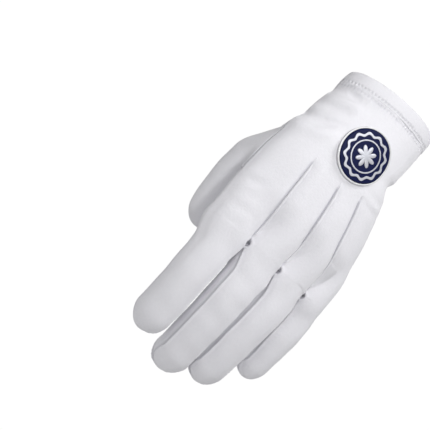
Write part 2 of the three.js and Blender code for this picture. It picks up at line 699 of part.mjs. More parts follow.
const bandProfile = (diameter, width) => [
  { radius: diameter / 2 - width / 2, height: lineFoot },
  { radius: diameter / 2 + width / 2, height: lineFoot },
  { radius: diameter / 2 + width / 2, height: lineFoot + badgeLineHeight },
  { radius: diameter / 2 - width / 2, height: lineFoot + badgeLineHeight },
];
const wave = (turn) => 1 + (badgeBorderWave / badgeBorderDiameter) * 2 * Math.cos(badgeBorderLobes * turn);
const petal = (turn) => mix(badgeMotifWaist / badgeMotifDiameter, 1, Math.abs(Math.cos((badgeMotifPetals * turn) / 2)));

const badgeRing = badgeSolid('badge_ring', bandProfile(badgeRingDiameter, badgeRingWidth), 0xdedfe6, 0.4, 0.3);
const badgeBorder = badgeSolid('badge_border', bandProfile(badgeBorderDiameter, badgeBorderWidth), 0xdedfe6, 0.4, 0.3, wave);
const badgeMotif = badgeSolid('badge_motif', [
  { radius: 0, height: lineFoot },
  { radius: badgeMotifDiameter / 2, height: lineFoot },
  { radius: badgeMotifDiameter / 2, height: lineFoot + badgeLineHeight },
  { radius: 0, height: lineFoot + badgeLineHeight },
], 0xd8d6cf, 0.4, 0.3, petal);

const group = new THREE.Group();
const fourchettes = [0, 1, 2].map((i) => `fourchette_${fingers[i].name}_${fingers[i + 1].name}`);
group.add(clothPiece('back_panel', wallThickness, ['thumb_piece']));
group.add(clothPiece('palm_panel', wallThickness, ['thumb_piece']));
group.add(clothPiece('thumb_piece', wallThickness));
for (let i = 0; i < fourchettes.length; i += 1) {
  group.add(clothPiece(fourchettes[i], wallThickness));
  group.add(tuck(`point_${fingers[i].name}`, firstTuckColumn + i * stripColumns, tucks[i].top));
}
group.add(clothPiece('cuff_hem', hemThickness));
group.add(badgeRim, badgeField, badgeRing, badgeBorder, badgeMotif);

export default group;
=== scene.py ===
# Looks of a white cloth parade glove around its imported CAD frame.
# Shapes are worked out in millimetres and put into the meshes in metres. The cuff is at the top,
# the fingers point down, the back of the hand faces -Y and the thumb side is -X.
import math

import bpy
import numpy as np
from mathutils import Matrix, Vector


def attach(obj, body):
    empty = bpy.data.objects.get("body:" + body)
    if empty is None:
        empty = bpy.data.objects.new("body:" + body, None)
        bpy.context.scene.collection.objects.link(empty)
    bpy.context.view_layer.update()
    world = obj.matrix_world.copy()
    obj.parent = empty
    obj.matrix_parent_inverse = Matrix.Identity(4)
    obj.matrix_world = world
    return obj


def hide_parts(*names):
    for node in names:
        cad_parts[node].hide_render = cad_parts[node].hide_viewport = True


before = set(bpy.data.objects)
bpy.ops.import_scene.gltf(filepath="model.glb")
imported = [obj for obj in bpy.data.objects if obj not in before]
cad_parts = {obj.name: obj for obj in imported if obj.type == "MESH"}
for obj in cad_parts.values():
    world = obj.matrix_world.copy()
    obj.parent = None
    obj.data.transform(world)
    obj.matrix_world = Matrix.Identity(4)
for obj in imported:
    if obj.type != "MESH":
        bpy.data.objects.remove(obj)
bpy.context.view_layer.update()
print("stage: frame loaded with", len(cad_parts), "nodes")

pi = math.pi
rad = math.radians

# Sizes of the hand, and its sections from the wrist to the crotches
hand = {
    "wristWidth": 67.0,
    "wristDepth": 45.0,
    "knuckleWidth": 100.0,
    "knuckleDepth": 28.0,
    "palmLength": 119.0,
    "hemWidth": 10.0,
    "cuffLean": rad(16),
    "leanLength": 46.0,
    "stripAngle": rad(57),
    "crotchDepth": 10.0,
    "at": np.array([0.0, 0.21, 0.336, 0.42, 0.58, 0.8, 1.0]),
    "shift": np.array([0.0, -0.04, -0.08, -0.072, -0.041, 0.001, 0.03]),
    "spread": np.array([0.0, 0.118, 0.19, 0.376, 0.71, 1.0, 1.1]),
    "thin": np.array([0.0, 0.105, 0.21, 0.26, 0.42, 0.68, 0.9]),
    "arch": np.array([0.0, 0.0, 0.0, 0.03, 0.1, 0.25, 0.36]),
    "lines": np.array([
        [-0.58, -0.555, -0.53, -0.493, -0.464, -0.449, -0.405],
        [-0.04, -0.04, -0.03, -0.01, 0.04, 0.068, 0.106],
        [0.42, 0.4, 0.4, 0.413, 0.462, 0.532, 0.588],
    ]),
    "crotchX": [-0.18, 0.085, 0.335],
}

# Folds of the cuff: drop is a share of palmLength, angle and reach are in degrees round the hand,
# width and depth are shares of wristDepth
bank = {"size": 0.5, "at": 1.8}  # the low bank below each fold, in shares of its depth and width
cuffFolds = [
    {"drop": 0.14, "angle": 0, "reach": 55, "width": 0.1, "depth": 0.025},
    {"drop": 0.32, "angle": 10, "reach": 60, "width": 0.11, "depth": 0.03},
    {"drop": 0.35, "angle": 180, "reach": 45, "width": 0.08, "depth": 0.035},
    {"drop": 0.2, "angle": 250, "reach": 50, "width": 0.12, "depth": 0.03},
    {"drop": 0.36, "angle": 270, "reach": 60, "width": 0.11, "depth": 0.035},
]

fingerSizes = {"length": 90.5, "width": 26.0, "depth": 21.5, "cap": 15.0, "rootWidth": 1.03,
               "widthTaper": 0.09, "rootDepth": 1.04, "depthTaper": 0.1, "nailLean": rad(38),
               "roundAt": 0.2, "upright": 0.3}
# A row each for the index, middle, ring and little finger: across and depth of the middle line at the
# root and at the tip, as shares of knuckleWidth and knuckleDepth, and sizes as shares of fingerSizes
fingers = [
    {"x": -0.309, "tipX": -0.281, "sink": 0.08, "tipSink": 0.27,
     "width": 1.0, "depth": 1.0, "length": 0.872},
    {"x": -0.031, "tipX": -0.003, "sink": 0.0, "tipSink": 0.42,
     "width": 1.0, "depth": 1.0, "length": 1.0},
    {"x": 0.231, "tipX": 0.235, "sink": 0.115, "tipSink": 0.5,
     "width": 0.935, "depth": 0.95, "length": 0.898},
    {"x": 0.455, "tipX": 0.484, "sink": 0.36, "tipSink": 0.71,
     "width": 0.77, "depth": 0.84, "length": 0.653},
]

thumbSizes = {
    "width": 25.0,
    "depth": 23.0,
    "reach": 50.0,
    "openingTop": 48.0,
    "openingLength": 40.0,
    "openingAngle": rad(62),
    "edge": 2.0,
    "edgeFade": 6.0,
    "rootSwell": 1.04,
    "taper": 0.1,
    "lineX": np.array([-0.405, -0.395, -0.365, -0.33]),
    "lineY": np.array([0.2, 0.33, 0.44, 0.5]),
    "lineZ": np.array([0.0, 0.27, 0.62, 1.0]),
}

# How finely the cloth is divided
mesh = {"strip": 26, "side": 14, "cuffRows": 58, "openRows": 66, "rootRows": 50, "fingerRows": 104,
        "capRows": 22, "thumbRows": 56, "thumbBlend": 44}


# From a to b as t goes from 0 to 1
def mix(a, b, t):
    return a + (b - a) * t


# Smooth step from 0 to 1
def smooth(t):
    t = np.clip(t, 0, 1)
    return t * t * (3 - 2 * t)


# Bell curve of width 1
def bell(t):
    return np.exp(-t * t)


# Vectors brought to length 1
def unit(vectors):
    return vectors / np.linalg.norm(vectors, axis=-1)[..., None]


# Angles once round, without the last, which is the first again
def fullTurn(count):
    return np.arange(count) / count * 2 * pi


# Shares from 0 to 1 that lie closer together at both ends
def eased(count, ease=0.5):
    t = np.linspace(0, 1, count + 1)
    return (1 - ease) * t + ease * (0.5 - 0.5 * np.cos(pi * t))


# Cubic curve through values at stations. The slope at a station is that between its neighbours.
def curveThrough(stations, values, at):
    last = len(stations) - 1
    index = np.arange(last + 1)
    above, below = np.minimum(index + 1, last), np.maximum(index - 1, 0)
    slopes = (values[above] - values[below]) / (stations[above] - stations[below])
    i = np.clip(np.searchsorted(stations, at, side="left") - 1, 0, last - 1)
    step = stations[i + 1] - stations[i]
    t = (at - stations[i]) / step
    return ((2 * t**3 - 3 * t**2 + 1) * values[i] + (t**3 - 2 * t**2 + t) * slopes[i] * step
            + (3 * t**2 - 2 * t**3) * values[i + 1] + (t**3 - t**2) * slopes[i + 1] * step)


# A column of the hand's sections at a share of palmLength
def alongHand(at, column):
    return curveThrough(hand["at"], hand[column], at)


# Depth of the hand's middle line: it leans back above leanLength and is upright below
def middleOfHand(drop):
    softness = hand["leanLength"] / 8
    past = (drop - hand["leanLength"]) / softness
    return -math.tan(hand["cuffLean"]) * (drop - softness * np.logaddexp(0, past))


# A point of a level section in the leaning plane: x across, q from the back to the palm
def handPoint(x, q, drop):
    x, q, drop = np.broadcast_arrays(x, q, drop)
    lean = hand["cuffLean"]
    return np.stack([x, middleOfHand(drop) + q * math.cos(lean), -drop - q * math.sin(lean)], -1)


# Ellipse of the hand: angle 0 is the thumb side, 90 the back, 180 the little-finger side, with the
# little-finger side drawn to the palm and the cuff's folds pulled in
def handEllipse(at, angle):
    at, angle = np.broadcast_arrays(np.asarray(at, float), np.asarray(angle, float))
    halfWidth = mix(hand["wristWidth"], hand["knuckleWidth"], alongHand(at, "spread")) / 2
    halfDepth = mix(hand["wristDepth"], hand["knuckleDepth"], alongHand(at, "thin")) / 2
    side = -np.cos(angle)
    arch = alongHand(at, "arch") * hand["knuckleDepth"] * np.maximum(0, side) ** 2
    swell = np.ones_like(at)
    for fold in cuffFolds:
        turn = np.abs((np.degrees(angle) - fold["angle"] + 540) % 360 - 180)
        width = fold["width"] * hand["wristDepth"]
        distance = (at - fold["drop"]) * hand["palmLength"]
        size = fold["depth"] * bell(turn / fold["reach"])
        swell = swell - size * (bell(distance / width) - bank["size"] * bell(distance / width - bank["at"]))
    x = alongHand(at, "shift") * hand["knuckleWidth"] + halfWidth * side * swell
    return x, arch - halfDepth * np.sin(angle) * swell


# Where the crotch between two fingers meets the back (side -1) and the palm (side 1)
def crotchCorner(i, side):
    middle = (fingers[i]["sink"] + fingers[i + 1]["sink"]) / 2
    x = hand["crotchX"][i] * hand["knuckleWidth"]
    return x + 0 * side, middle * hand["knuckleDepth"] + side * hand["crotchDepth"] / 2


# Outer corners of the first and the last finger at the crotches' level
def outerCorner(i, side):
    edge = float(handEllipse(1.0, 0.0 if i == 0 else pi)[0])
    inward = (1 - math.sin(hand["stripAngle"])) * fingerSizes["width"] / 2
    x = edge + (inward if i == 0 else -inward)
    return x + 0 * side, fingers[i]["sink"] * hand["knuckleDepth"] + side * hand["crotchDepth"] / 2


# Section of a finger at the crotches' level: arcs on the back and the palm, and either a straight
# crease towards the next finger or a rounded outer side
def rootPoint(i, turn):
    sink = fingers[i]["sink"] * hand["knuckleDepth"]
    strip = hand["stripAngle"]
    side = np.where(np.cos(turn) > 0, -1.0, 1.0)
    first, last = i == 0, i == len(fingers) - 1
    leftX, leftQ = outerCorner(i, side) if first else crotchCorner(i - 1, side)
    rightX, rightQ = outerCorner(i, side) if last else crotchCorner(i, side)
    across = np.sin(turn) / math.sin(strip)
    share = (across + 1) / 2
    rise = (np.abs(np.cos(turn)) - math.cos(strip)) / (1 - math.cos(strip))
    faceX = mix(leftX, rightX, share)
    faceQ = mix(mix(leftQ, rightQ, share), sink + side * hand["knuckleDepth"] / 2, rise)
    level = np.abs(np.cos(turn)) / math.cos(strip)
    out = (np.abs(np.sin(turn)) - math.sin(strip)) / (1 - math.sin(strip))
    sideX, sideQ = np.zeros_like(turn), np.zeros_like(turn)
    for towards in (-1, 1):
        here = np.sign(turn) == towards
        nearX, nearQ = (leftX, leftQ) if towards < 0 else (rightX, rightQ)
        if (first and towards < 0) or (last and towards > 0):
            edge = float(handEllipse(1.0, 0.0 if first else pi)[0])
            sideX = np.where(here, mix(nearX, edge, out), sideX)
            sideQ = np.where(here, mix(sink, nearQ, level), sideQ)
        else:
            crease = i if towards > 0 else i - 1
            middle = (crotchCorner(crease, -1.0)[1] + crotchCorner(crease, 1.0)[1]) / 2
            sideX = np.where(here, nearX, sideX)
            sideQ = np.where(here, mix(middle, nearQ, level), sideQ)
    onFace = np.abs(across) <= 1 + 1e-9
    return np.where(onFace, faceX, sideX), np.where(onFace, faceQ, sideQ)


# Rows of a finger: how far along it, how round the cap is, and the seams' angle there, which
# opens to 90 degrees over the cap
def fingerRows(finger):
    length = finger["length"] * fingerSizes["length"]
    cap = fingerSizes["cap"] * finger["width"]
    tube = np.linspace(0, 1, mesh["fingerRows"] + 1) ** 1.12 * (length - cap)
    caps = np.linspace(0, pi / 2, mesh["capRows"] + 1)[1:]
    reach = np.concatenate([tube, np.full(len(caps), length - cap)])
    turnOver = np.concatenate([np.zeros(len(tube)), caps])
    opened = np.clip(turnOver / (pi / 2) / 0.75, 0, 1)
    return reach, turnOver, mix(hand["stripAngle"], pi / 2, opened)


# A point of a finger. The section is an ellipse that grows out of rootPoint, the middle line
# curls towards the palm as the square of the way, and the cap's pole leans to the nail side.
def fingerPoint(i, reach, turnOver, turn):
    finger = fingers[i]
    length = finger["length"] * fingerSizes["length"]
    cap = fingerSizes["cap"] * finger["width"]
    s = reach / length
    lean = fingerSizes["nailLean"] * (turnOver / (pi / 2)) ** 1.5
    ring, ahead = np.cos(turnOver), np.sin(turnOver)
    widthHere = fingerSizes["rootWidth"] - fingerSizes["widthTaper"] * s
    depthHere = fingerSizes["rootDepth"] - fingerSizes["depthTaper"] * s
    halfWidth = finger["width"] * fingerSizes["width"] / 2 * widthHere
    halfDepth = finger["depth"] * fingerSizes["depth"] / 2 * depthHere
    depthShare = -np.cos(turn) * ring * np.cos(lean) - ahead * np.sin(lean)
    capShare = ahead * np.cos(lean) - np.cos(turn) * ring * np.sin(lean)
    x0, sink0 = finger["x"] * hand["knuckleWidth"], finger["sink"] * hand["knuckleDepth"]
    rootX, rootQ = rootPoint(i, turn)
    join = smooth(s / fingerSizes["roundAt"])
    x = mix(rootX - x0, np.sin(turn) * ring * halfWidth, join)
    q = mix(rootQ - sink0, depthShare * halfDepth, join)
    curl = (finger["tipSink"] - finger["sink"]) * hand["knuckleDepth"]
    bend = np.arctan(2 * curl * s / length)
    tilt = mix(hand["cuffLean"], -bend, smooth(s / fingerSizes["upright"]))
    start = handPoint(x0, sink0, hand["palmLength"])
    forward = capShare * cap
    return np.stack([
        start[0] + (finger["tipX"] - finger["x"]) * hand["knuckleWidth"] * s + x,
        start[1] + curl * s * s + q * np.cos(tilt) + forward * np.sin(bend),
        start[2] - reach - q * np.sin(tilt) - forward * np.cos(bend),
    ], -1)


# Half angle by which the palm's edge stands back from the thumb side
def thumbOpening(at):
    share = (at * hand["palmLength"] - thumbSizes["openingTop"]) / thumbSizes["openingLength"]
    return thumbSizes["openingAngle"] * np.sin(pi * np.clip(share, 0, 1))


# Columns over one half of the hand: which finger, and the turn on it
sideTurns = mix(hand["stripAngle"], pi / 2, eased(mesh["side"] // 2, 0.3))
stripTurns = mix(-hand["stripAngle"], hand["stripAngle"], eased(mesh["strip"]))
columnTurns, columnFingers = [-sideTurns[::-1][:-1]], [np.zeros(len(sideTurns) - 1, int)]
for k in range(len(fingers)):
    own = stripTurns if k == 0 else stripTurns[1:]
    columnTurns.append(own)
    columnFingers.append(np.full(len(own), k))
columnTurns.append(sideTurns[1:])
columnFingers.append(np.full(len(sideTurns) - 1, len(fingers) - 1))
columnTurns = np.concatenate(columnTurns)
columnFingers = np.concatenate(columnFingers)
firstLine = len(sideTurns) - 1 + mesh["strip"]
columnMarks = np.array([0, *[firstLine + k * mesh["strip"] for k in range(3)], len(columnTurns) - 1])
columnSpans = np.clip(np.searchsorted(columnMarks, np.arange(len(columnTurns)), side="left") - 1, 0, 3)


# Angle on the hand's ellipse of every column: the lines between the fingers are fixed, and the
# columns between two lines keep the fingers' own spacing
def columnAngles(at):
    lines = [np.arccos(-curveThrough(hand["at"], hand["lines"][k], at)) for k in range(3)]
    knots = np.stack([0 * at, *lines, 0 * at + pi], -1)
    place = np.concatenate([[0.0], np.cumsum(np.diff(columnTurns) % pi)])
    start, end = columnMarks[columnSpans], columnMarks[columnSpans + 1]
    share = (place - place[start]) / (place[end] - place[start])
    return knots[:, columnSpans] * (1 - share) + knots[:, columnSpans + 1] * share


# The hand between the wrist and the crotches as rows times columns. side: 1 the back, -1 the palm.
# Towards the crotches the smooth ellipse takes the fingers' own arcs.
def handGrid(at, side):
    opened = (thumbOpening(at) if side < 0 else 0 * at)[:, None]
    angle = opened + (1 - opened / pi) * columnAngles(at)
    x, q = handEllipse(at[:, None], side * angle)
    rootX, rootQ = np.zeros(len(columnTurns)), np.zeros(len(columnTurns))
    for k in range(len(fingers)):
        turn = columnTurns if side > 0 else np.where(columnTurns >= 0, pi, -pi) - columnTurns
        fingerX, fingerQ = rootPoint(k, turn)
        rootX = np.where(columnFingers == k, fingerX, rootX)
        rootQ = np.where(columnFingers == k, fingerQ, rootQ)
    share = smooth((at - 0.72) / 0.28)[:, None]
    return handPoint(mix(x, rootX, share), mix(q, rootQ, share), (at * hand["palmLength"])[:, None])


# Arc length along the columns of each row, or along the rows with axis 0
def arcs(points, axis=1):
    steps = np.linalg.norm(np.diff(points, axis=axis), axis=-1)
    pad = [(0, 0), (0, 0)]
    pad[axis] = (1, 0)
    return np.pad(np.cumsum(steps, axis=axis), pad)


# Sewn edges: a ridge, a furrow on the seam and a gutter beside it. side is the strength of the plain
# side seams, and lineAt is where a line of painted shade runs in a strip that lies lower. faint is the
# distance by which the side seams, the hem's edge and the fingers' fronts stand back from the painted
# shade. The last three set the painted shade in the crotch holes and towards the fingers' roots.
seams = {"ridge": 0.8, "ridgeAt": 0.75, "ridgeWidth": 0.7, "furrow": 0.22, "furrowWidth": 0.35,
         "gutter": 0.45, "gutterAt": 0.7, "gutterWidth": 0.6, "pucker": 0.12, "puckerPitch": 2.4,
         "puckerWidth": 2.6, "side": 0.4, "lineAt": 0.45, "tipFade": 10, "rootFade": 13, "rootShare": 0.1,
         "faint": {"side": 3, "hem": 1, "front": 9}, "holeShade": 1.2, "holeSlope": 0.8, "rootSlope": 0.25}


# Relief of a sewn edge over the distance from it: a rolled ridge, a furrow on the seam itself and
# small puckers between the stitches
def seamRelief(distance, along, strength=1.0):
    ridge = seams["ridge"] * bell((distance - seams["ridgeAt"]) / seams["ridgeWidth"])
    furrow = seams["furrow"] * bell(distance / seams["furrowWidth"])
    pucker = seams["pucker"] * np.cos(2 * pi * along / seams["puckerPitch"])
    return strength * (ridge - furrow + pucker * bell(distance / seams["puckerWidth"]))


# Relief on the other side of a raised edge: the cloth dips beside it
def gutterRelief(distance):
    return -seams["gutter"] * bell((distance - seams["gutterAt"]) / seams["gutterWidth"])


# The cloth's soft unevenness: seed, wavelength and height of each part's waves
ripples = {"hand": (5, 24.0, 0.22), "finger": (11, 15.0, 0.2), "thumb": (23, 16.0, 0.18)}
rippleWaves = 9


# Height of the unevenness: a seeded sum of plane waves through the points
def ripple(points, part, number=0):
    seed, wavelength, height = ripples[part]
    source = np.random.default_rng(seed + number)
    total = np.zeros(points.shape[:-1])
    for wave in range(rippleWaves):
        heading = source.normal(size=3)
        heading *= 2 * pi / (wavelength * source.uniform(0.7, 1.5)) / np.linalg.norm(heading)
        total += np.sin(points @ heading + source.uniform(0, 2 * pi))
    return height * total / math.sqrt(rippleWaves)


cornerPoints = np.array([handPoint(*[float(v) for v in crotchCorner(k, s)], hand["palmLength"])
                         for k in range(3) for s in (-1.0, 1.0)])


# Distance from the nearest crotch corner
def cornerDistance(points):
    return np.min(np.linalg.norm(points[..., None, :] - cornerPoints, axis=-1), axis=-1)


lip = {"rise": 0.75, "radius": 3.1, "width": 0.85, "hole": 2.6, "holeWidth": 1.7}


# The end of each crotch: a small hole where the seams meet, with a rounded lip about it
def lipRelief(points):
    distance = cornerDistance(points)
    raised = lip["rise"] * bell((distance - lip["radius"]) / lip["width"])
    return raised - lip["hole"] * bell(distance / lip["holeWidth"])


# Soft folds drawn across the back, each on a line between two places given as X and Z. depth below 0
# is a ridge.
folds = [
    {"from": (-33.0, -13.5), "to": (-25.0, -11.5), "width": 2.6, "depth": 1.3},
    {"from": (-39.0, -28.5), "to": (-27.0, -21.5), "width": 2.8, "depth": 1.6},
    {"from": (-43.0, -41.0), "to": (-25.0, -28.0), "width": 3.2, "depth": 1.7},
    {"from": (-46.0, -91.0), "to": (-39.0, -86.0), "width": 2.6, "depth": 0.45},
    {"from": (-44.0, -106.5), "to": (-31.0, -104.0), "width": 3.0, "depth": 0.35},
    {"from": (-28.0, -103.0), "to": (-25.0, -111.0), "width": 2.4, "depth": 0.35},
    {"from": (30.0, -39.0), "to": (22.0, -34.0), "width": 2.2, "depth": 0.7},
    {"from": (16.0, -53.0), "to": (32.0, -52.0), "width": 2.0, "depth": -0.5},
]
foldShape = {"endDepth": 0.35, "taper": 0.7, "bank": 0.45, "bankAt": 1.9}


# Relief of the folds: a bell across each line, shallower at its ends, with a low bank beside it
def foldRelief(points):
    total = np.zeros(points.shape[:2])
    flat = points[..., [0, 2]]
    for fold in folds:
        start, end = np.array(fold["from"]), np.array(fold["to"])
        run = end - start
        share = np.clip((flat - start) @ run / (run @ run), 0, 1)
        away = np.linalg.norm(flat - start - share[..., None] * run, axis=-1) / fold["width"]
        deep = fold["depth"] * mix(foldShape["endDepth"], 1, np.sin(pi * share) ** foldShape["taper"])
        total = total - deep * (bell(away) - foldShape["bank"] * bell(away - foldShape["bankAt"]))
    return total


# Every grid of the cloth, with the piece it belongs to
clothGrids = []


# relief lifts the points outwards, the distance given after it is how far each point lies from the nearest
# line of painted shade, and weave places the knit
def addCloth(piece, points, relief, seam, weave):
    clothGrids.append({"piece": piece, "points": points, "relief": relief, "seam": seam, "weave": weave})


hemEnd = hand["hemWidth"] / hand["palmLength"]
openStart = thumbSizes["openingTop"] / hand["palmLength"]
openEnd = (thumbSizes["openingTop"] + thumbSizes["openingLength"]) / hand["palmLength"]
openAts = np.linspace(openStart, openEnd, mesh["openRows"] + 1)
bodyAts = np.concatenate([
    np.linspace(hemEnd, openStart, mesh["cuffRows"] + 1),
    openAts[1:],
    np.linspace(openEnd, 1, mesh["rootRows"] + 1)[1:],
])

tucks = {"tops": [57.5, 59.5, 56.0], "fade": 6.0, "end": 119.0, "groove": 1.0, "grooveAt": -1.0,
         "grooveWidth": 0.65, "bank": 0.7, "bankAt": 0.9, "bankWidth": 1.5, "darkSlope": 1.7, "dark": 0.7,
         "darkStart": 8.0}


# Relief of the cloth beside a tuck: sunk on its thumb side and raised on the other
def tuckRelief(offset, drop, top):
    shown = smooth((drop - top) / tucks["fade"]) * smooth((tucks["end"] - drop) / tucks["fade"])
    sunk = tucks["groove"] * bell((offset - tucks["grooveAt"]) / tucks["grooveWidth"])
    raised = tucks["bank"] * bell((offset - tucks["bankAt"]) / tucks["bankWidth"])
    return shown * (raised - sunk)


# The folded hem and its two rows of stitches, which sit in dimples with dots of painted shade between
# them. waves holds height, count and start of the waves in its outer face.
hem = {"roll": 1.15, "swell": 0.35, "bottom": 10.05, "waves": [(0.12, 5, 0.6), (0.07, 11, 0.0)],
       "stitchRows": [8.4, 11.6], "stitchPitch": 2.4, "stitchLength": 1.3, "stitchRadius": 0.2,
       "stitchRise": 0.1, "stitchSlant": 0.35, "upperLift": 0.25, "dimple": 0.6, "dimpleWidth": 0.65,
       "dotSpread": (1.4, 1.2), "dotDepth": 0.3, "rows": 22, "overRows": 13, "columns": 288}
backPoints = handGrid(bodyAts, 1)


# The hand between the hem and the crotches, side 1 the back and -1 the palm, with its side seams, the
# lower row of stitch holes, and on the back the folds and the grooves beside the tucks
def bodyGrid(piece, points, side):
    across, down = arcs(points), arcs(points, 0)
    drop = (bodyAts * hand["palmLength"])[:, None]
    grooves = []
    edge, fade = thumbSizes["edge"], thumbSizes["edgeFade"]
    openingEnd = thumbSizes["openingTop"] + thumbSizes["openingLength"]
    opening = smooth((drop - thumbSizes["openingTop"] + edge) / fade)
    opening = opening * smooth((openingEnd + edge - drop) / fade)
    toThumb, toLittle = across, across[:, -1:] - across
    relief = seamRelief(toThumb, drop, mix(seams["side"], 1.0, opening))
    relief = relief + seamRelief(toLittle, drop, seams["side"])
    row = hem["stitchRows"][1]
    dimple = 0.5 + 0.5 * np.cos(2 * pi * across / hem["stitchPitch"])
    relief = relief + lipRelief(points) - hem["dimple"] * dimple * bell((drop - row) / hem["dimpleWidth"])
    relief = relief + ripple(points, "hand")
    if side > 0:
        relief = relief + foldRelief(points)
        for mark, top in zip(columnMarks[1:-1], tucks["tops"]):
            offset = across - across[:, mark:mark + 1]
            relief = relief + tuckRelief(offset, drop, top)
            shown = smooth((drop - top) / tucks["fade"])
            # Painted shadow along the foot of each tuck, on its thumb side, where the groove is
            dark = np.abs(offset - tucks["grooveAt"]) * tucks["darkSlope"] - tucks["dark"]
            grooves.append(dark + tucks["darkStart"] * (1 - shown))
    # Dots of painted shade in the holes between the stitches of the lower row
    dots = 1 - np.cos(2 * pi * across / hem["stitchPitch"])
    stitches = hem["dotSpread"][1] * np.abs(drop - row) + dots - hem["dotDepth"]
    faint = seams["faint"]
    # Lines of painted shade: the side seams, the hem's edge, the crotch corners, the stitch holes and the
    # tucks' grooves
    lines = [toThumb + faint["side"] * (1 - opening), toLittle + faint["side"], down + faint["hem"],
             cornerDistance(points), stitches, *grooves]
    seam = lines[0]
    for line in lines[1:]:
        seam = np.minimum(seam, line)
    middle = len(columnTurns) // 2 + 1
    weave = np.stack([side * (across - across[:, middle:middle + 1]), down + 0 * across], -1)
    order = slice(None) if side > 0 else slice(None, None, -1)
    addCloth(piece, points[:, order], relief[:, order], seam[:, order], weave[:, order])


bodyGrid("backCloth", backPoints, 1)
palmPoints = handGrid(bodyAts, -1)
bodyGrid("palmCloth", palmPoints, -1)


# A stretch of a finger's columns at every row: the back, the palm, or half of a side.
# low and high name the angles at which the stretch starts and ends, which open over the cap.
def fingerStretch(i, low, high, count, ease):
    reach, turnOver, strip = fingerRows(fingers[i])
    share = eased(count, ease)[None, :]
    strip = strip[:, None]
    angles = {"strip": strip, "-strip": -strip, "flat": 0 * strip + pi / 2, "-flat": 0 * strip - pi / 2,
              "back": pi - strip, "-back": strip - pi, "round": pi + strip}
    turn = mix(angles[low], angles[high], share)
    turn = np.where(turn > pi, turn - 2 * pi, turn)
    return fingerPoint(i, reach[:, None], turnOver[:, None], turn)


# A stretch of a finger with its sewn edges, which fade towards the tip and the root. edges: strength
# of the raised seam at its first and last column, or None for a side strip that lies lower
def addStrip(piece, i, points, edges):
    across, along = arcs(points), arcs(points, 0)
    toTip = along[-1:] - along
    first, last = across, across[:, -1:] - across
    relief = 0 * across
    settled = smooth((toTip - 1) / seams["tipFade"]) * mix(
        seams["rootShare"], 1.0, smooth(along / seams["rootFade"]))
    for distance, strength in ((first, edges[0]), (last, edges[1])):
        edge = gutterRelief(distance) if strength is None else seamRelief(distance, along, strength)
        relief = relief + edge * settled
    relief = relief + lipRelief(points) + ripple(points, "finger", i)
    # Painted shade: dark in the crotch holes; in a side strip also a line beside the next finger and more
    # towards the root
    seam = seams["holeSlope"] * cornerDistance(points) - seams["holeShade"]
    lines = [first + seams["faint"]["front"]]
    if edges[0] is None:
        lines = [np.abs(edge - seams["lineAt"]) for edge in (first, last)] + [seams["rootSlope"] * along]
    for line in lines:
        seam = np.minimum(seam, line)
    middle = points.shape[1] // 2
    addCloth(piece, points, relief, seam, np.stack([across - across[:, middle:middle + 1], along], -1))


# Stretches side by side, each sharing its first column with the one before
def joined(*parts):
    return np.concatenate([parts[0], *[part[:, 1:] for part in parts[1:]]], 1)


half = mesh["side"] // 2
fourchetteNames = ["fourchetteIndexMiddle", "fourchetteMiddleRing", "fourchetteRingLittle"]
for i in range(len(fingers)):
    first, last = i == 0, i == len(fingers) - 1
    back = fingerStretch(i, "-strip", "strip", mesh["strip"], 0.5)
    palm = fingerStretch(i, "back", "round", mesh["strip"], 0.5)
    outerBack = fingerStretch(i, "strip", "flat", half, 0.3)
    outerPalm = fingerStretch(i, "flat", "back", half, 0.3)
    innerPalm = fingerStretch(i, "-back", "-flat", half, 0.3)
    innerBack = fingerStretch(i, "-flat", "-strip", half, 0.3)
    side = seams["side"]
    if first:
        back, palm = joined(innerBack, back), joined(palm, innerPalm)
    else:
        addStrip(fourchetteNames[i - 1], i, joined(innerPalm, innerBack), (None, None))
    if last:
        back, palm = joined(back, outerBack), joined(outerPalm, palm)
    else:
        addStrip(fourchetteNames[i], i, joined(outerBack, outerPalm), (None, None))
    addStrip("backCloth", i, back, (side if first else 1.0, side if last else 1.0))
    addStrip("palmCloth", i, palm, (side if last else 1.0, side if first else 1.0))


# Curve through the thumb's knots with centripetal spacing, as points at even steps of its length
def knotCurve(knots, count):
    before, after = 2 * knots[0] - knots[1], 2 * knots[-1] - knots[-2]
    ends = np.vstack([before, knots, after])
    pieces = []
    for k in range(len(knots) - 1):
        a, b, c, d = ends[k:k + 4]
        one, two, three = (np.linalg.norm(v) ** 0.5 for v in (b - a, c - b, d - c))
        leave = ((b - a) / one - (c - a) / (one + two) + (c - b) / two) * two
        arrive = ((c - b) / two - (d - b) / (two + three) + (d - c) / three) * two
        t = np.linspace(0, 1, 80, endpoint=False)[:, None]
        bend, twist = 3 * (c - b) - 2 * leave - arrive, 2 * (b - c) + leave + arrive
        pieces.append(b + leave * t + bend * t**2 + twist * t**3)
    path = np.vstack([*pieces, knots[-1:]])
    length = arcs(path[None])[0]
    even = np.linspace(0, length[-1], count)
    return even, np.stack([np.interp(even, length, path[:, k]) for k in range(3)], -1)


thumbStart = -(thumbSizes["openingTop"] + 0.8 * thumbSizes["openingLength"])
thumbKnots = np.stack([
    thumbSizes["lineX"] * hand["knuckleWidth"],
    thumbSizes["lineY"] * hand["wristDepth"],
    thumbStart - thumbSizes["lineZ"] * thumbSizes["reach"],
], -1)
thumbWay, thumbPath = knotCurve(thumbKnots, 400)
thumbHeading = unit(np.gradient(thumbPath, axis=0))
thumbCap = thumbSizes["depth"] / 2
thumbPalmward = np.array([-0.45, 0.9, 0.0])


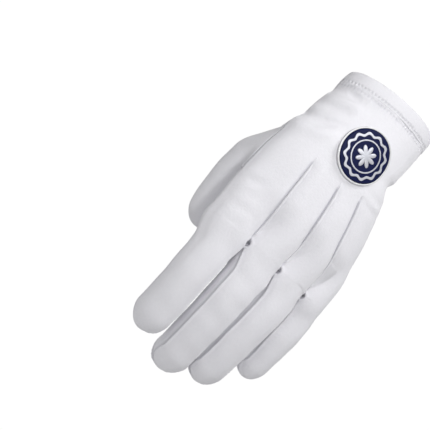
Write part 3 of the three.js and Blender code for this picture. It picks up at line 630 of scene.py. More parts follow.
# Rings of the thumb: ellipses square to its middle line, closed by a round cap
def thumbRings(t, turnOver, count):
    way = t * (thumbWay[-1] - thumbCap)
    centre = np.stack([np.interp(way, thumbWay, thumbPath[:, k]) for k in range(3)], -1)
    ahead = unit(np.stack([np.interp(way, thumbWay, thumbHeading[:, k]) for k in range(3)], -1))
    out = unit(thumbPalmward - ahead * (ahead @ thumbPalmward)[:, None])
    sideways = np.cross(ahead, out)
    sideways *= np.where(sideways[:, :1] > 0, -1, 1)
    centre = centre + ahead * (thumbCap * np.sin(turnOver))[:, None]
    turn = fullTurn(count)
    size = (np.cos(turnOver) * (thumbSizes["rootSwell"] - thumbSizes["taper"] * t))[:, None, None]
    return (centre[:, None] + out[:, None] * np.cos(turn)[None, :, None] * thumbSizes["depth"] / 2 * size
            + sideways[:, None] * np.sin(turn)[None, :, None] * thumbSizes["width"] / 2 * size)


# How the thumb leaves the opening: pull is the curves' strength as a share of their span, and each pair
# holds the values at the opening's two corners and at the web between them
thumbRoot = {"out": np.array([-0.55, 0.83, 0.0]), "inward": (0.8, 0.1), "outward": (0.05, 0.9), "pull": 0.8,
             "arrive": (1, 0.4)}


# The thumb leaves the opening's rim on cubic curves and ends on the first ring of its tube
def thumbGrid():
    rows = slice(mesh["cuffRows"], mesh["cuffRows"] + mesh["openRows"] + 1)
    front, rear = backPoints[rows, 0], palmPoints[rows, 0][1:-1][::-1]
    rim = np.vstack([front, rear])
    frontAt, rearAt = openAts, openAts[1:-1][::-1]
    ats = np.concatenate([frontAt, rearAt])
    angles = np.concatenate([0 * frontAt, -thumbOpening(rearAt)])
    turns = np.concatenate([-np.ones(len(frontAt)), np.ones(len(rearAt))])
    near = handPoint(*handEllipse(ats, angles), ats * hand["palmLength"])
    far = handPoint(*handEllipse(ats, angles + 0.02 * turns), ats * hand["palmLength"])
    onward = unit(far - near)
    count = len(rim)
    end = thumbRings(np.zeros(1), np.zeros(1), count)[0]
    ahead = thumbHeading[0]
    out = thumbRoot["out"]
    span = np.linalg.norm(end - rim, axis=1)[:, None]
    turn = fullTurn(count)[:, None]
    web, corner = 0.5 - 0.5 * np.cos(turn), np.abs(np.cos(turn))
    middle = rim.mean(0) - rim
    middle = unit(middle - out * (middle @ out)[:, None])
    inward, outward = mix(*thumbRoot["inward"], web), mix(*thumbRoot["outward"], web)
    leave = middle * corner * inward + onward * (1 - corner**2) + out * outward
    leave = leave * span * thumbRoot["pull"]
    arrive = ahead * span * mix(*thumbRoot["arrive"], web)
    t = np.linspace(0, 1, mesh["thumbBlend"] + 1)[:-1][:, None, None]
    blend = (rim * (2 * t**3 - 3 * t**2 + 1) + leave * (t**3 - 2 * t**2 + t)
             + end * (3 * t**2 - 2 * t**3) + arrive * (t**3 - t**2))
    tube = thumbRings(np.linspace(0, 1, mesh["thumbRows"] + 1), np.zeros(mesh["thumbRows"] + 1), count)
    caps = np.linspace(0, pi / 2, mesh["capRows"] + 1)[1:]
    cap = thumbRings(np.ones(len(caps)), caps, count)
    rings = np.concatenate([blend, tube, cap])
    return np.concatenate([rings, rings[:, :1]], 1)[:, ::-1]


thumbPoints = thumbGrid()
thumbAcross, thumbAlong = arcs(thumbPoints), arcs(thumbPoints, 0)
thumbRelief = seamRelief(thumbAlong, thumbAcross[:1])
thumbRelief = thumbRelief + ripple(thumbPoints, "thumb") * smooth(thumbAlong / 6)
thumbWeave = np.stack([thumbAcross - thumbAcross[:, :1], thumbAlong], -1)
# Painted shade darkens the thumb towards the seam round its root
addCloth("thumbCloth", thumbPoints, thumbRelief, thumbAlong, thumbWeave)
print("stage: cloth grids", len(clothGrids))


# A field of all the grids in one row
def allOf(field):
    return np.concatenate([np.broadcast_to(g[field], g["points"].shape[:2]).reshape(-1)
                           for g in clothGrids])


# All grids welded to one surface, so that neighbours share their seams' points and directions
allPoints = np.concatenate([g["points"].reshape(-1, 3) for g in clothGrids])
weldsPerMillimetre = 500
keys = np.round(allPoints * weldsPerMillimetre).astype(np.int64)
firstIds, clothIds = np.unique(keys, axis=0, return_index=True, return_inverse=True)[1:]
clothIds = clothIds.reshape(-1)
clothPoints = allPoints[firstIds]
shared = np.bincount(clothIds)
clothRelief = np.bincount(clothIds, allOf("relief")) / shared
clothShadeDistance = np.full(len(clothPoints), 1e3)
np.minimum.at(clothShadeDistance, clothIds, allOf("seam"))


# Quads between neighbouring rows and columns
def gridQuads(ids):
    return np.stack([ids[:-1, :-1], ids[1:, :-1], ids[1:, 1:], ids[:-1, 1:]], -1).reshape(-1, 4)


# Point numbers of a tube, whose last column is the first again
def tubeIds(rows, columns):
    ids = np.arange(rows * columns).reshape(rows, columns)
    return np.hstack([ids, ids[:, :1]])


relax = {"drop": 124.0, "reach": 15.0, "rounds": 70, "least": 0.02, "seamStart": 1.2, "seamFull": 3.0}


# Evens out how deep the cloth lies at the fingers' roots, away from the seams: each point goes
# towards the mean of its neighbours, round after round
def relaxRoots(points, quads):
    edges = np.vstack([quads[:, [k, (k + 1) % 4]] for k in range(4)])
    edges = edges[edges[:, 0] != edges[:, 1]]
    near = bell((-points[:, 2] - relax["drop"]) / relax["reach"])
    free = smooth((clothShadeDistance - relax["seamStart"]) / (relax["seamFull"] - relax["seamStart"]))
    weight = np.where(near > relax["least"], near * free, 0)
    edges = edges[weight[edges[:, 0]] > 0]
    count = np.maximum(np.bincount(edges[:, 0], minlength=len(points)), 1)
    depth = points[:, 1].copy()
    for turn in range(relax["rounds"]):
        mean = np.bincount(edges[:, 0], depth[edges[:, 1]], minlength=len(points)) / count
        depth = depth + np.where(weight > 0, weight * (mean - depth), 0)
    return np.stack([points[:, 0], depth, points[:, 2]], -1)


offset = 0
for grid in clothGrids:
    rows, cols = grid["points"].shape[:2]
    own = np.arange(offset, offset + rows * cols).reshape(rows, cols)
    offset += rows * cols
    grid["quads"] = clothIds[gridQuads(own)]
    grid["corners"] = gridQuads(np.arange(rows * cols).reshape(rows, cols))
clothPoints = relaxRoots(clothPoints, np.concatenate([g["quads"] for g in clothGrids]))
clothNormals = np.zeros_like(clothPoints)
for grid in clothGrids:
    a, b, c, d = (clothPoints[grid["quads"][:, k]] for k in range(4))
    facing = np.cross(c - a, d - b)
    for k in range(4):
        np.add.at(clothNormals, grid["quads"][:, k], facing)
clothNormals /= np.maximum(np.linalg.norm(clothNormals, axis=1), 1e-12)[:, None]
shapedPoints = clothPoints + clothNormals * clothRelief[:, None]


# A mesh object in metres from points in millimetres and faces, with smooth shading
def makeMesh(name, points, faces, weave=None, seam=None):
    data = bpy.data.meshes.new(name)
    data.from_pydata((np.asarray(points) * 0.001).tolist(), [], faces)
    data.polygons.foreach_set("use_smooth", np.ones(len(data.polygons), bool))
    if weave is not None:
        layer = data.uv_layers.new(name="weave")
        layer.data.foreach_set("uv", np.asarray(weave, np.float32).reshape(-1))
    if seam is not None:
        layer = data.attributes.new("seam", "FLOAT", "POINT")
        layer.data.foreach_set("value", np.asarray(seam, np.float32))
    data.update()
    obj = bpy.data.objects.new(name, data)
    bpy.context.scene.collection.objects.link(obj)
    return obj


# Splits quads with two equal corners into plain triangles and keeps each corner's weave place
def cleanFaces(quads, weave):
    same = quads == np.roll(quads, -1, axis=1)
    whole = same.sum(1) == 0
    faces, places = quads[whole].tolist(), [weave[whole].reshape(-1, 2)]
    for k in range(4):
        pick = (same.sum(1) == 1) & same[:, k]
        keep = [m for m in range(4) if m != k]
        faces += quads[pick][:, keep].tolist()
        places.append(weave[pick][:, keep].reshape(-1, 2))
    return faces, np.concatenate(places)


# Gives a surface a wall inwards, with the thickness in millimetres
def addWall(obj, thickness):
    wall = obj.modifiers.new("wall", "SOLIDIFY")
    wall.thickness = thickness * 0.001
    wall.offset = -1
    wall.use_quality_normals = True


wallThickness = 1.1
for piece in dict.fromkeys(g["piece"] for g in clothGrids):
    grids = [g for g in clothGrids if g["piece"] == piece]
    quads = np.concatenate([g["quads"] for g in grids])
    weave = np.concatenate([g["weave"].reshape(-1, 2)[g["corners"]] for g in grids])
    used, local = np.unique(quads, return_inverse=True)
    faces, places = cleanFaces(local.reshape(quads.shape), weave)
    obj = makeMesh(piece, shapedPoints[used], faces, places * 0.001, clothShadeDistance[used])
    addWall(obj, wallThickness)
print("stage: cloth pieces made")


# The cuff's surface at any drop below the opening, all the way round: angle runs from the thumb
# side over the back and round the palm
def cuffSurface(drop, angle):
    x, q = handEllipse(drop / hand["palmLength"], angle)
    return handPoint(x, q, drop)


# Outward direction of the cuff's surface from its slopes
def cuffOutward(drop, angle):
    step = 0.01
    across = cuffSurface(drop, angle + step) - cuffSurface(drop, angle - step)
    down = cuffSurface(drop + 0.2, angle) - cuffSurface(drop - 0.2, angle)
    return unit(np.cross(down, across))


# The hem: a doubled band whose section is a long loop, rounded over the top edge
def makeHem():
    turn = np.linspace(0, 2 * pi, hem["columns"] + 1)[None, :]
    count, roll = hem["rows"], hem["roll"]
    over = np.linspace(0, pi, hem["overRows"] + 2)[1:-1]
    front = np.linspace(hem["bottom"], roll, count)
    swell = hem["swell"] * np.sin(np.linspace(0, pi, count)) ** 0.6
    drops = np.concatenate([front, roll - roll * np.sin(over), front[::-1]])[:, None]
    depth = np.concatenate([np.zeros(count), roll * (1 - np.cos(over)), np.full(count, 2 * roll)])[:, None]
    out = np.concatenate([swell, np.zeros(len(over) + count)])[:, None]
    drop = drops + 0 * turn
    turn = turn + 0 * drops
    wave = sum(size * np.sin(turn * count + start) for size, count, start in hem["waves"])
    surface = cuffSurface(drop, turn)
    around = arcs(surface)
    dimple = hem["dimple"] * (0.5 + 0.5 * np.cos(2 * pi * around / hem["stitchPitch"]))
    sunk = dimple * bell((drop - hem["stitchRows"][0]) / hem["dimpleWidth"]) * (depth == 0)
    height = out - depth - sunk + wave * (out > 0)
    points = (surface + cuffOutward(drop, turn) * height[..., None])[:, :-1]
    ids = tubeIds(*points.shape[:2])
    quads = gridQuads(np.vstack([ids, ids[:1]]))[:, ::-1]
    along = np.concatenate([[0], np.cumsum(np.hypot(np.diff(drops[:, 0]), np.diff(depth[:, 0])))])
    weave = np.stack([arcs(points).reshape(-1), np.repeat(along, hem["columns"])], -1)[quads] * 0.001
    # Dots of painted shade in the holes between the stitches of the upper row
    dots = 1 - np.cos(2 * pi * around[:, :-1] / hem["stitchPitch"])
    seam = hem["dotSpread"][0] * np.abs(drop[:, :-1] - hem["stitchRows"][0]) + dots
    return makeMesh("hemBand", points.reshape(-1, 3), quads.tolist(), weave.reshape(-1, 2),
                    seam.reshape(-1))


makeHem()


# Small rounded bars, one for each centre, heading and outward direction: a capsule section carried
# along a short arch whose ends dip into the cloth
def makeBars(name, centres, headings, outwards, length, radius, rise):
    rings, sides = 5, 6
    t = np.linspace(-1, 1, rings)[:, None]
    turn = fullTurn(sides)[None, :]
    sideways = np.cross(headings, outwards)
    girth = np.sqrt(np.clip(1 - 0.8 * t**4, 0, 1))
    lift = rise - (rise + 1.5 * radius) * t**4
    points = (centres[:, None, None] + headings[:, None, None] * (t * length / 2)[None, :, :, None]
              + outwards[:, None, None] * (lift + radius * girth * np.sin(turn))[None, :, :, None]
              + sideways[:, None, None] * (radius * girth * np.cos(turn))[None, :, :, None])
    ids = tubeIds(rings, sides)
    shift = (np.arange(len(centres)) * rings * sides)[:, None, None]
    quads = (gridQuads(ids) + shift).reshape(-1, 4)
    caps = (np.stack([ids[0, :-1], ids[-1, -2::-1]]) + shift).reshape(-1, sides)
    return makeMesh(name, points.reshape(-1, 3), quads.tolist() + caps.tolist())


# Two rows of short stitches round the cuff
def makeHemStitches():
    centres, headings, outwards = [], [], []
    for k, drop in enumerate(hem["stitchRows"]):
        fine = np.linspace(0, 2 * pi, 1441)
        ring = cuffSurface(drop + 0 * fine, fine)
        length = arcs(ring[None])[0]
        count = int(length[-1] // hem["stitchPitch"])
        angle = np.interp((np.arange(count) + 0.5) * length[-1] / count, length, fine)
        here = drop + 0 * angle
        outward = cuffOutward(here, angle)
        heading = unit(cuffSurface(here, angle + 0.02) - cuffSurface(here, angle - 0.02))
        down = np.cross(heading, outward)
        slant = unit(heading + hem["stitchSlant"] * down * (1 if k else -1))
        lift = (hem["upperLift"] if k == 0 else 0.0) - 0.5 * hem["dimple"]
        centres.append(cuffSurface(here, angle) + outward * lift)
        headings.append(slant)
        outwards.append(outward)
    return makeBars("hemStitches", np.vstack(centres), np.vstack(headings), np.vstack(outwards),
                    hem["stitchLength"], hem["stitchRadius"], hem["stitchRise"])


makeHemStitches()

tuckShape = {"width": 1.3, "height": 0.9, "endWidth": 0.35, "endHeight": 0.15, "lean": 0.3,
             "lastDrop": 113.5, "grow": 0.2, "close": 0.03, "knot": 0.35, "knotAt": 0.965,
             "knotWidth": 0.022, "stitch": 0.05, "stitchPitch": 2.4, "lift": 0.15, "sides": 18}


# A tuck: a rounded fold carried down a line between two fingers. Its section is half an ellipse
# that leans to the little-finger side, low at the wrist and full from there on.
def makeTuck(name, mark, top):
    drop = bodyAts * hand["palmLength"]
    rows = np.nonzero((drop >= top + 1) & (drop <= tuckShape["lastDrop"]))[0]
    line = backPoints[rows, mark]
    across = unit(backPoints[rows, mark + 2] - backPoints[rows, mark - 2])
    heading = unit(np.gradient(line, axis=0))
    outward = np.cross(heading, across)
    share = np.linspace(0, 1, len(rows))[:, None]
    size = smooth(share / tuckShape["grow"]) * smooth((1 - share) / tuckShape["close"])
    knot = tuckShape["knot"] * bell((share - tuckShape["knotAt"]) / tuckShape["knotWidth"])
    stitch = tuckShape["stitch"] * np.cos(2 * pi * (drop[rows][:, None]) / tuckShape["stitchPitch"])
    turn = fullTurn(tuckShape["sides"])[None, :]
    width = tuckShape["width"] * (mix(tuckShape["endWidth"], 1, size) + knot)
    height = tuckShape["height"] * (mix(tuckShape["endHeight"], 1, size) + knot + stitch)
    side = -np.cos(turn) * width / 2 + tuckShape["lean"] * np.maximum(np.sin(turn), 0) * size
    rise = np.where(np.sin(turn) > 0, np.abs(np.sin(turn)) ** 0.8, np.sin(turn) * 0.4)
    up = rise * height + tuckShape["lift"]
    points = line[:, None] + across[:, None] * side[..., None] + outward[:, None] * up[..., None]
    ids = tubeIds(*points.shape[:2])
    caps = [ids[0, :-1].tolist(), ids[-1, -2::-1].tolist()]
    return makeMesh(name, points.reshape(-1, 3), gridQuads(ids).tolist() + caps)


for name, mark, top in zip(["tuckIndex", "tuckMiddle", "tuckRing"], columnMarks[1:], tucks["tops"]):
    makeTuck(name, mark, top)

# The badge. dome holds radius and height over the motif's top, and cut the slope at the motif's edge.
badge = {"diameter": 34.6, "drop": 40.5, "side": 2.7, "rimWidth": 1.1, "rimHeight": 2.1,
         "rimRound": 0.4, "back": 0.7, "field": 0.6, "line": 0.4, "lineRound": 0.14, "gap": 0.3,
         "seat": 0.1, "fieldGap": 0.05, "lineGap": 0.02, "ring": 19.0, "ringWidth": 0.8,
         "border": 25.6, "borderWidth": 1.6, "borderWave": 0.7, "borderLobes": 12, "motif": 13.6,
         "waist": 5.2, "petals": 8, "dome": [(0, 0.25), (1.6, 0.12), (3.4, 0.05)], "cut": (0.3, 0.2),
         "segments": 192}
roundSteps = 4


# A place on the badge: radius and turn are taken to the back of the cuff, which carries it, and
# height is measured outwards from there
def badgePoint(radius, turn, height):
    # The cuff's back at x and drop: the ellipse's angle there is the arc cosine of x's share
    def place(x, drop):
        at = drop / hand["palmLength"]
        middle = alongHand(at, "shift") * hand["knuckleWidth"]
        halfWidth = mix(hand["wristWidth"], hand["knuckleWidth"], alongHand(at, "spread")) / 2
        angle = np.arccos(np.clip((middle - x) / halfWidth, -1, 1))
        return handPoint(*handEllipse(at, angle), drop)
    middle = float(alongHand(badge["drop"] / hand["palmLength"], "shift")) * hand["knuckleWidth"]
    x = radius * np.sin(turn) + middle + badge["side"]
    drop = badge["drop"] - radius * np.cos(turn) * math.cos(hand["cuffLean"])
    here = place(x, drop)
    normal = unit(np.cross(place(x, drop + 1) - here, place(x + 1, drop) - here))
    return here + normal * height[..., None]


# A body turned about the badge's middle from a profile of radius and height pairs, which is closed
# or starts and ends on the axis. scale lets the radius grow and shrink round the turn.
def makeTurned(name, profile, scale=None):
    profile = np.array(profile, float)
    onAxis = profile[0, 0] == 0
    body = profile[1:-1] if onAxis else profile
    turn = fullTurn(badge["segments"])
    factor = np.ones(len(turn)) if scale is None else scale(turn)
    radius = body[:, 0][:, None] * factor[None, :]
    height = body[:, 1][:, None] + 0 * radius
    points = badgePoint(radius, turn[None, :] + 0 * radius, height)
    ids = tubeIds(*points.shape[:2])
    points = points.reshape(-1, 3)
    if not onAxis:
        return makeMesh(name, points, gridQuads(np.vstack([ids, ids[:1]]))[:, ::-1].tolist())
    poles = badgePoint(np.zeros(2), np.zeros(2), profile[[0, -1], 1])
    start, end = len(points), len(points) + 1
    first, last = ids[0], ids[-1]
    fans = np.vstack([np.stack([start + 0 * first[1:], first[1:], first[:-1]], -1),
                      np.stack([end + 0 * last[1:], last[:-1], last[1:]], -1)])
    return makeMesh(name, np.vstack([points, poles]), gridQuads(ids)[:, ::-1].tolist() + fans.tolist())


# A closed loop of profile points from corners, each corner cut by a small round
def rounded(corners, size):
    corners = np.array(corners, float)
    out = []
    for k in range(len(corners)):
        before, here, after = corners[k - 1], corners[k], corners[(k + 1) % len(corners)]
        a = here + (before - here) * min(0.45, size / np.linalg.norm(before - here))
        b = here + (after - here) * min(0.45, size / np.linalg.norm(after - here))
        t = np.linspace(0, 1, roundSteps + 1)[:, None]
        out.append(a * (1 - t) ** 2 + 2 * here * t * (1 - t) + b * t**2)
    return np.vstack(out)


badgeSeat = badge["gap"] + badge["seat"]
fieldFoot = badgeSeat + badge["back"] + badge["gap"]
fieldTop = fieldFoot + badge["field"]
lineFoot = fieldTop + badge["lineGap"]
outerRadius = badge["diameter"] / 2
innerRadius = outerRadius - badge["rimWidth"]


# Section of a raised line: a rectangle with rounded corners
def bandProfile(diameter, width):
    inner, outer = diameter / 2 - width / 2, diameter / 2 + width / 2
    top = lineFoot + badge["line"]
    return rounded([[inner, lineFoot], [inner, top], [outer, top], [outer, lineFoot]], badge["lineRound"])


# Growth of the border's radius round the turn: a cosine with a wave for each lobe
def borderScale(turn):
    return 1 + badge["borderWave"] / badge["border"] * 2 * np.cos(badge["borderLobes"] * turn)


# The motif's radius runs between its waist and its petals' ends
def petalScale(turn):
    return mix(badge["waist"] / badge["motif"], 1, np.abs(np.cos(badge["petals"] * turn / 2)) ** 0.8)


rimTop = badge["rimHeight"]
floorHeight = badgeSeat + badge["back"]
rimCorners = [[innerRadius, floorHeight], [innerRadius, rimTop],
              [outerRadius, rimTop], [outerRadius, badgeSeat]]
rimProfile = np.vstack([
    [[0, floorHeight], [innerRadius * 0.5, floorHeight], [innerRadius, floorHeight]],
    rounded(rimCorners, badge["rimRound"])[roundSteps + 1:-roundSteps - 1],
    [[outerRadius, badgeSeat + badge["seat"]], [outerRadius - badge["seat"], badgeSeat],
     [outerRadius * 0.5, badgeSeat], [0, badgeSeat]],
])
fieldEdge = innerRadius - badge["fieldGap"]
fieldProfile = [[r, fieldTop] for r in np.linspace(0, fieldEdge, 14)]
fieldProfile += [[fieldEdge, fieldFoot], [0, fieldFoot]]
motifTop, motifEdge = lineFoot + badge["line"], badge["motif"] / 2
motifProfile = [[radius, motifTop + rise] for radius, rise in badge["dome"]]
motifProfile += [[motifEdge - badge["cut"][0], motifTop], [motifEdge, motifTop - badge["cut"][1]],
                 [motifEdge, lineFoot], [0, lineFoot]]
makeTurned("badgeRim", rimProfile)
makeTurned("badgeField", fieldProfile)
makeTurned("badgeRing", bandProfile(badge["ring"], badge["ringWidth"]))
makeTurned("badgeBorder", bandProfile(badge["border"], badge["borderWidth"]), borderScale)
makeTurned("badgeMotif", motifProfile, petalScale)
print("stage: hem, stitches, tucks and badge made")


# A node socket that takes part in Python sums
class Wire:
    def __init__(self, paint, socket):
        self.paint, self.socket = paint, socket

    # A Math node over one or two sockets or numbers
    def sums(self, operation, first, second=None):
        values = {0: first} if second is None else {0: first, 1: second}
        return self.paint.add("ShaderNodeMath", {"operation": operation}, values)

    # Each sum adds a node. The reflected forms have the number on the left.
    def __add__(self, other):
        return self.sums("ADD", self, other)

    def __radd__(self, other):
        return self.sums("ADD", other, self)

    def __sub__(self, other):
        return self.sums("SUBTRACT", self, other)

    def __rsub__(self, other):
        return self.sums("SUBTRACT", other, self)

    def __mul__(self, other):
        return self.sums("MULTIPLY", self, other)

    def __rmul__(self, other):
        return self.sums("MULTIPLY", other, self)

    def __truediv__(self, other):
        return self.sums("DIVIDE", self, other)

    def __rtruediv__(self, other):
        return self.sums("DIVIDE", other, self)

    def __abs__(self):
        return self.sums("ABSOLUTE", self)

    # The sine, e to the power of the value, and what stands behind its decimal point
    def sine(self):
        return self.sums("SINE", self)

    def exponent(self):
        return self.sums("EXPONENT", self)

    def part(self):
        return self.sums("FRACT", self)

    # Another output of the same node
    def output(self, name):
        return Wire(self.paint, self.socket.node.outputs[name])


# The nodes of a material or of the world
class Paint:
    def __init__(self, owner):
        owner.use_nodes = True
        self.owner, self.tree = owner, owner.node_tree
        self.tree.nodes.clear()

    # A node of any kind. settings, with a ramp's stops, are set first, then each socket gets its value
    # or its link, and out is the output that is handed back.
    def add(self, kind, settings=None, sockets=None, out=0):
        node = self.tree.nodes.new(kind)
        for key, value in (settings or {}).items():
            if key == "stops":
                ramp = node.color_ramp
                while len(ramp.elements) < len(value):
                    ramp.elements.new(0.5)
                for element, (place, colour) in zip(ramp.elements, value):
                    element.position, element.color = place, (*colour, 1)
            else:
                setattr(node, key, value)
        for key, value in (sockets or {}).items():
            if isinstance(value, Wire):
                self.tree.links.new(value.socket, node.inputs[key])
            else:
                node.inputs[key].default_value = value
        return Wire(self, node.outputs[out]) if node.outputs else None

    # Noise through the piece's own coordinates, scale to a metre
    def noise(self, scale, detail, roughness=0.5):
        place = self.add("ShaderNodeTexCoord", None, None, "Object")
        return self.add("ShaderNodeTexNoise", None,
                        {"Vector": place, "Scale": scale, "Detail": detail, "Roughness": roughness})

    # Colour that goes from the first to the second as share goes from 0 to 1
    def blend(self, share, first, second):
        return self.add("ShaderNodeMix", {"data_type": "RGBA"},
                        {"Factor": share, "A": (*first, 1), "B": (*second, 1)}, "Result")

    # Surface direction bent by a height in metres
    def bump(self, height):
        return self.add("ShaderNodeBump", None, {"Height": height, "Distance": 1.0, "Strength": 1.0})

    # The last node, joined to the output
    def finish(self, sockets, kind="ShaderNodeBsdfPrincipled", output="ShaderNodeOutputMaterial"):
        self.add(output, None, {"Surface": self.add(kind, None, sockets)})
        return self.owner


# Colours and strengths of the cotton. Each noise is its scale to a metre, detail and roughness. shade is
# the darker colour for both the random blotches and the painted shade, and tuck is the cotton painted a
# little darker as painted shade on the tucks.
fabric = {"colour": (0.82, 0.815, 0.847), "shade": (0.42, 0.415, 0.47), "tuck": (0.79, 0.787, 0.82),
          "tuckShade": (0.6, 0.6, 0.64), "thread": (0.84, 0.838, 0.86), "threadShade": (0.64, 0.64, 0.67),
          "walePitch": 0.00085, "coursePitch": 0.00062, "knit": 0.00006, "fuzz": 0.00011, "mottle": 0.0002,
          "blotches": 0.11, "specks": 0.13, "paintedShade": 0.42, "shadeFade": 0.9, "ribShade": 0.03,
          "roughness": 0.86, "sheen": 0.25, "sheenSpread": 0.5, "specular": 0.2,
          "mottleNoise": (620.0, 3.0, 0.6), "fuzzNoise": (2600.0, 2.0, 0.6),
          "blotchNoise": (45.0, 3.0, 0.55)}


# Knitted cotton: ribs of small V-shaped loops on the weave map, a fuzzy nap and faint unevenness. The
# colour goes to the shade by the noise and, on the cloth, by painted shade: e to the minus distance from
# the nearest line of painted shade, and a little in the grooves between the ribs.
def makeFabric(name, colour, shade, useWeave):
    paint = Paint(bpy.data.materials.new(name))
    mottle = paint.noise(*fabric["mottleNoise"])
    height = paint.noise(*fabric["fuzzNoise"]) * fabric["fuzz"] + mottle * fabric["mottle"]
    blend = paint.noise(*fabric["blotchNoise"]) * fabric["blotches"] + mottle * fabric["specks"]
    if useWeave:
        weave = paint.add("ShaderNodeUVMap", {"uv_map": "weave"})
        across = paint.add("ShaderNodeSeparateXYZ", None, {"Vector": weave}, "X")
        along = across.output("Y")
        rib = abs((across / fabric["walePitch"]).part() - 0.5) * 2.0
        loops = ((along / fabric["coursePitch"] + rib * 0.5) * (2 * pi)).sine()
        height = height + (1.0 - rib * rib) * (loops * 0.3 + 0.7) * fabric["knit"]
        seam = paint.add("ShaderNodeAttribute", {"attribute_name": "seam"}, None, "Fac")
        # Painted shade near the seams, crotch holes, tuck grooves and stitch holes
        near = (seam * -fabric["shadeFade"]).exponent()
        # Painted shade in the grooves between the knit's ribs
        blend = blend + near * fabric["paintedShade"] + rib * fabric["ribShade"]
    return paint.finish({"Base Color": paint.blend(blend, colour, shade), "Roughness": fabric["roughness"],
                         "Normal": paint.bump(height), "Sheen Weight": fabric["sheen"],
                         "Sheen Roughness": fabric["sheenSpread"],
                         "Specular IOR Level": fabric["specular"]})


clothMaterial = makeFabric("knittedCotton", fabric["colour"], fabric["shade"], True)
# The tucks wear the cotton a little darker: painted shade that tones down their lit ridges
shadedTuckMaterial = makeFabric("shadedTuckCotton", fabric["tuck"], fabric["tuckShade"], False)
threadMaterial = makeFabric("thread", fabric["thread"], fabric["threadShade"], False)

# Colours of the badge's metals and enamel, their noises as above, and their relief in metres
metal = {"rim": (0.7, 0.7, 0.71), "line": (0.6, 0.61, 0.66), "field": (0.005, 0.008, 0.042),
         "cloudNoise": (380.0, 4.0, 0.6), "scratchNoise": (3000.0, 2.0), "enamelNoise": (260.0, 3.0),
         "tarnish": 0.8, "scratch": 0.00001, "dent": 0.00003, "wave": 0.00004, "glow": 1.5}


# Satin metal: fine scratches, uneven roughness, and a faint tarnish that darkens it in places
def makeMetal(name, colour, metallic, roughness):
    paint = Paint(bpy.data.materials.new(name))
    cloud = paint.noise(*metal["cloudNoise"])
    tone = paint.blend(cloud * 0.5, colour, tuple(metal["tarnish"] * c for c in colour))
    relief = paint.noise(*metal["scratchNoise"]) * metal["scratch"] + cloud * metal["dent"]
    return paint.finish({"Base Color": tone, "Metallic": metallic, "Roughness": cloud * 0.2 + roughness,
                         "Normal": paint.bump(relief)})


# Navy enamel, lighter in places and faintly wavy
def makeEnamel(name, colour):
    paint = Paint(bpy.data.materials.new(name))
    cloud = paint.noise(*metal["enamelNoise"])
    tone = paint.blend(cloud * 0.6, colour, tuple(metal["glow"] * c for c in colour))
    return paint.finish({"Base Color": tone, "Roughness": cloud * 0.15 + 0.45, "Specular IOR Level": 0.12,
                         "Normal": paint.bump(cloud * metal["wave"])})


rimMaterial = makeMetal("satinSilver", metal["rim"], metallic=0.25, roughness=0.34)
lineMaterial = makeMetal("paleSilver", metal["line"], metallic=0.45, roughness=0.4)
fieldMaterial = makeEnamel("navyEnamel", metal["field"])

# Each material with its slot, and its pieces with the CAD nodes that they stand for. The stitches stand
# for none.
finishes = [
    (clothMaterial, "cloth", {
        "backCloth": "back_panel", "palmCloth": "palm_panel", "thumbCloth": "thumb_piece",
        "hemBand": "cuff_hem", "fourchetteIndexMiddle": "fourchette_index_middle",
        "fourchetteMiddleRing": "fourchette_middle_ring",
        "fourchetteRingLittle": "fourchette_ring_little",
    }),
    (threadMaterial, "cloth", {"hemStitches": None}),
    (shadedTuckMaterial, "tuck", {
        "tuckIndex": "point_index", "tuckMiddle": "point_middle", "tuckRing": "point_ring",
    }),
    (rimMaterial, "badge_rim", {"badgeRim": "badge_rim"}),
    (fieldMaterial, "badge_field", {"badgeField": "badge_field"}),
    (lineMaterial, "badge_line", {
        "badgeRing": "badge_ring", "badgeBorder": "badge_border", "badgeMotif": "badge_motif",
    }),
]
for material, slotName, nodes in finishes:
    for piece, node in nodes.items():
        obj = bpy.data.objects[piece]
        obj.data.materials.append(material)
        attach(obj, "root")
        if node:
            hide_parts(node)
print("stage: materials on", sum(len(nodes) for material, slotName, nodes in finishes), "pieces")

# Floor, light and camera
stage = {"floorHeight": -0.6, "floorRadius": 1.2, "floorSides": 96, "below": 0.1, "above": 0.36,
         "front": 0.61, "behind": 1.02, "frontY": -0.3, "behindY": 0.6}
floorTurn = fullTurn(stage["floorSides"])
floorPoints = np.stack([np.cos(floorTurn), np.sin(floorTurn), 0 * floorTurn], -1)
floorPoints *= stage["floorRadius"] * 1000
floorPoints[:, 2] = stage["floorHeight"] * 1000
floor = makeMesh("floor", floorPoints, [list(range(stage["floorSides"]))])
floorPaint = Paint(bpy.data.materials.new("palePaper"))
floor.data.materials.append(floorPaint.finish({"Base Color": (0.93, 0.93, 0.93, 1), "Roughness": 0.9,
                                               "Emission Color": (1, 1, 1, 1), "Emission Strength": 0.1}))

# The world is a white backdrop at eye level, dimmer above and darker below, and a little greyer in
# front of the glove than behind it. The stops are shares of the way from straight down to straight up.
skyStops = [(0.0, stage["below"]), (0.33, stage["below"]), (0.415, 1.0), (0.585, 1.0),
            (0.67, stage["above"])]
world = bpy.data.worlds.new("paleStudio")
bpy.context.scene.world = world
sky = Paint(world)
heading = sky.add("ShaderNodeTexCoord", None, None, "Generated")
upward = sky.add("ShaderNodeSeparateXYZ", None, {"Vector": heading}, "Z")
skyColour = sky.add("ShaderNodeValToRGB", {"stops": [(share, (level,) * 3) for share, level in skyStops]},
                    {"Fac": upward * 0.5 + 0.5})
brightness = sky.add("ShaderNodeMapRange", {"interpolation_type": "SMOOTHSTEP"},
                     {"Value": upward.output("Y"), "From Min": stage["frontY"],
                      "From Max": stage["behindY"], "To Min": stage["front"],
                      "To Max": stage["behind"]}, "Result")
sky.finish({"Color": skyColour, "Strength": brightness}, "ShaderNodeBackground", "ShaderNodeOutputWorld")

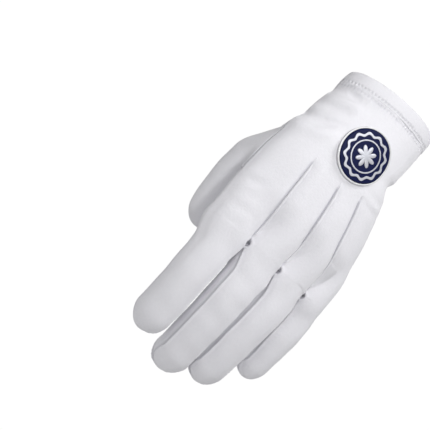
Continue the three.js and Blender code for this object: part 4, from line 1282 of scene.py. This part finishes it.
# The camera stands level at an azimuth and is turned about its view line. sensor is its width in
# millimetres, as that of the lens, and the rest is in metres.
camera = {"azimuth": rad(-22), "turn": rad(42), "lens": 160.0, "sensor": 36, "pictureWidth": 0.258,
          "centreAcross": -0.0352, "centreUp": -0.1187}
azimuth = camera["azimuth"]
backward = Vector((math.sin(azimuth), -math.cos(azimuth), 0))
levelRight = Vector((math.cos(azimuth), math.sin(azimuth), 0))
levelUp = backward.cross(levelRight)
pictureRight = levelRight * math.cos(camera["turn"]) + levelUp * math.sin(camera["turn"])
pictureUp = levelUp * math.cos(camera["turn"]) - levelRight * math.sin(camera["turn"])
distance = camera["pictureWidth"] * camera["lens"] / camera["sensor"]
target = levelRight * camera["centreAcross"] + levelUp * camera["centreUp"]
cameraData = bpy.data.cameras.new("camera")
cameraData.lens, cameraData.sensor_width = camera["lens"], camera["sensor"]
cameraData.clip_end = 20
cameraObject = bpy.data.objects.new("camera", cameraData)
bpy.context.scene.collection.objects.link(cameraObject)
place = target + backward * distance
cameraObject.matrix_world = Matrix((
    (pictureRight.x, pictureUp.x, backward.x, place.x),
    (pictureRight.y, pictureUp.y, backward.y, place.y),
    (pictureRight.z, pictureUp.z, backward.z, place.z),
    (0, 0, 0, 1),
))
bpy.context.scene.camera = cameraObject

# The key lamp hangs above the cuff, and a wide soft spot lights the back of the hand
lamps = [
    {"name": "key", "kind": "AREA", "place": (0.1, -0.36, 0.5), "aim": (0, 0, -0.08), "size": 0.28,
     "power": 2.3},
    {"name": "fill", "kind": "AREA", "place": (-0.9, -1.2, 0.3), "aim": (0, 0, -0.11), "size": 0.9,
     "power": 2.5},
    {"name": "rear", "kind": "AREA", "place": (0.3, 1.4, 0.6), "aim": (0, 0, -0.11), "size": 1.2,
     "power": 3.0},
    {"name": "spot", "kind": "SPOT", "place": (-0.14, -0.74, 0.16), "aim": (-0.014, 0, -0.08), "size": 0.08,
     "power": 11.2, "cone": rad(22)},
]
for lamp in lamps:
    light = bpy.data.lights.new(lamp["name"], lamp["kind"])
    light.energy = lamp["power"]
    if lamp["kind"] == "AREA":
        light.size, light.shape = lamp["size"], "DISK"
    else:
        light.shadow_soft_size, light.spot_size, light.spot_blend = lamp["size"], lamp["cone"], 1.0
    obj = bpy.data.objects.new(lamp["name"], light)
    obj.location = lamp["place"]
    obj.rotation_euler = (Vector(lamp["aim"]) - obj.location).to_track_quat("-Z", "Y").to_euler()
    bpy.context.scene.collection.objects.link(obj)
bpy.context.scene.view_settings.view_transform = "Standard"
print("stage: floor, lights and camera made")
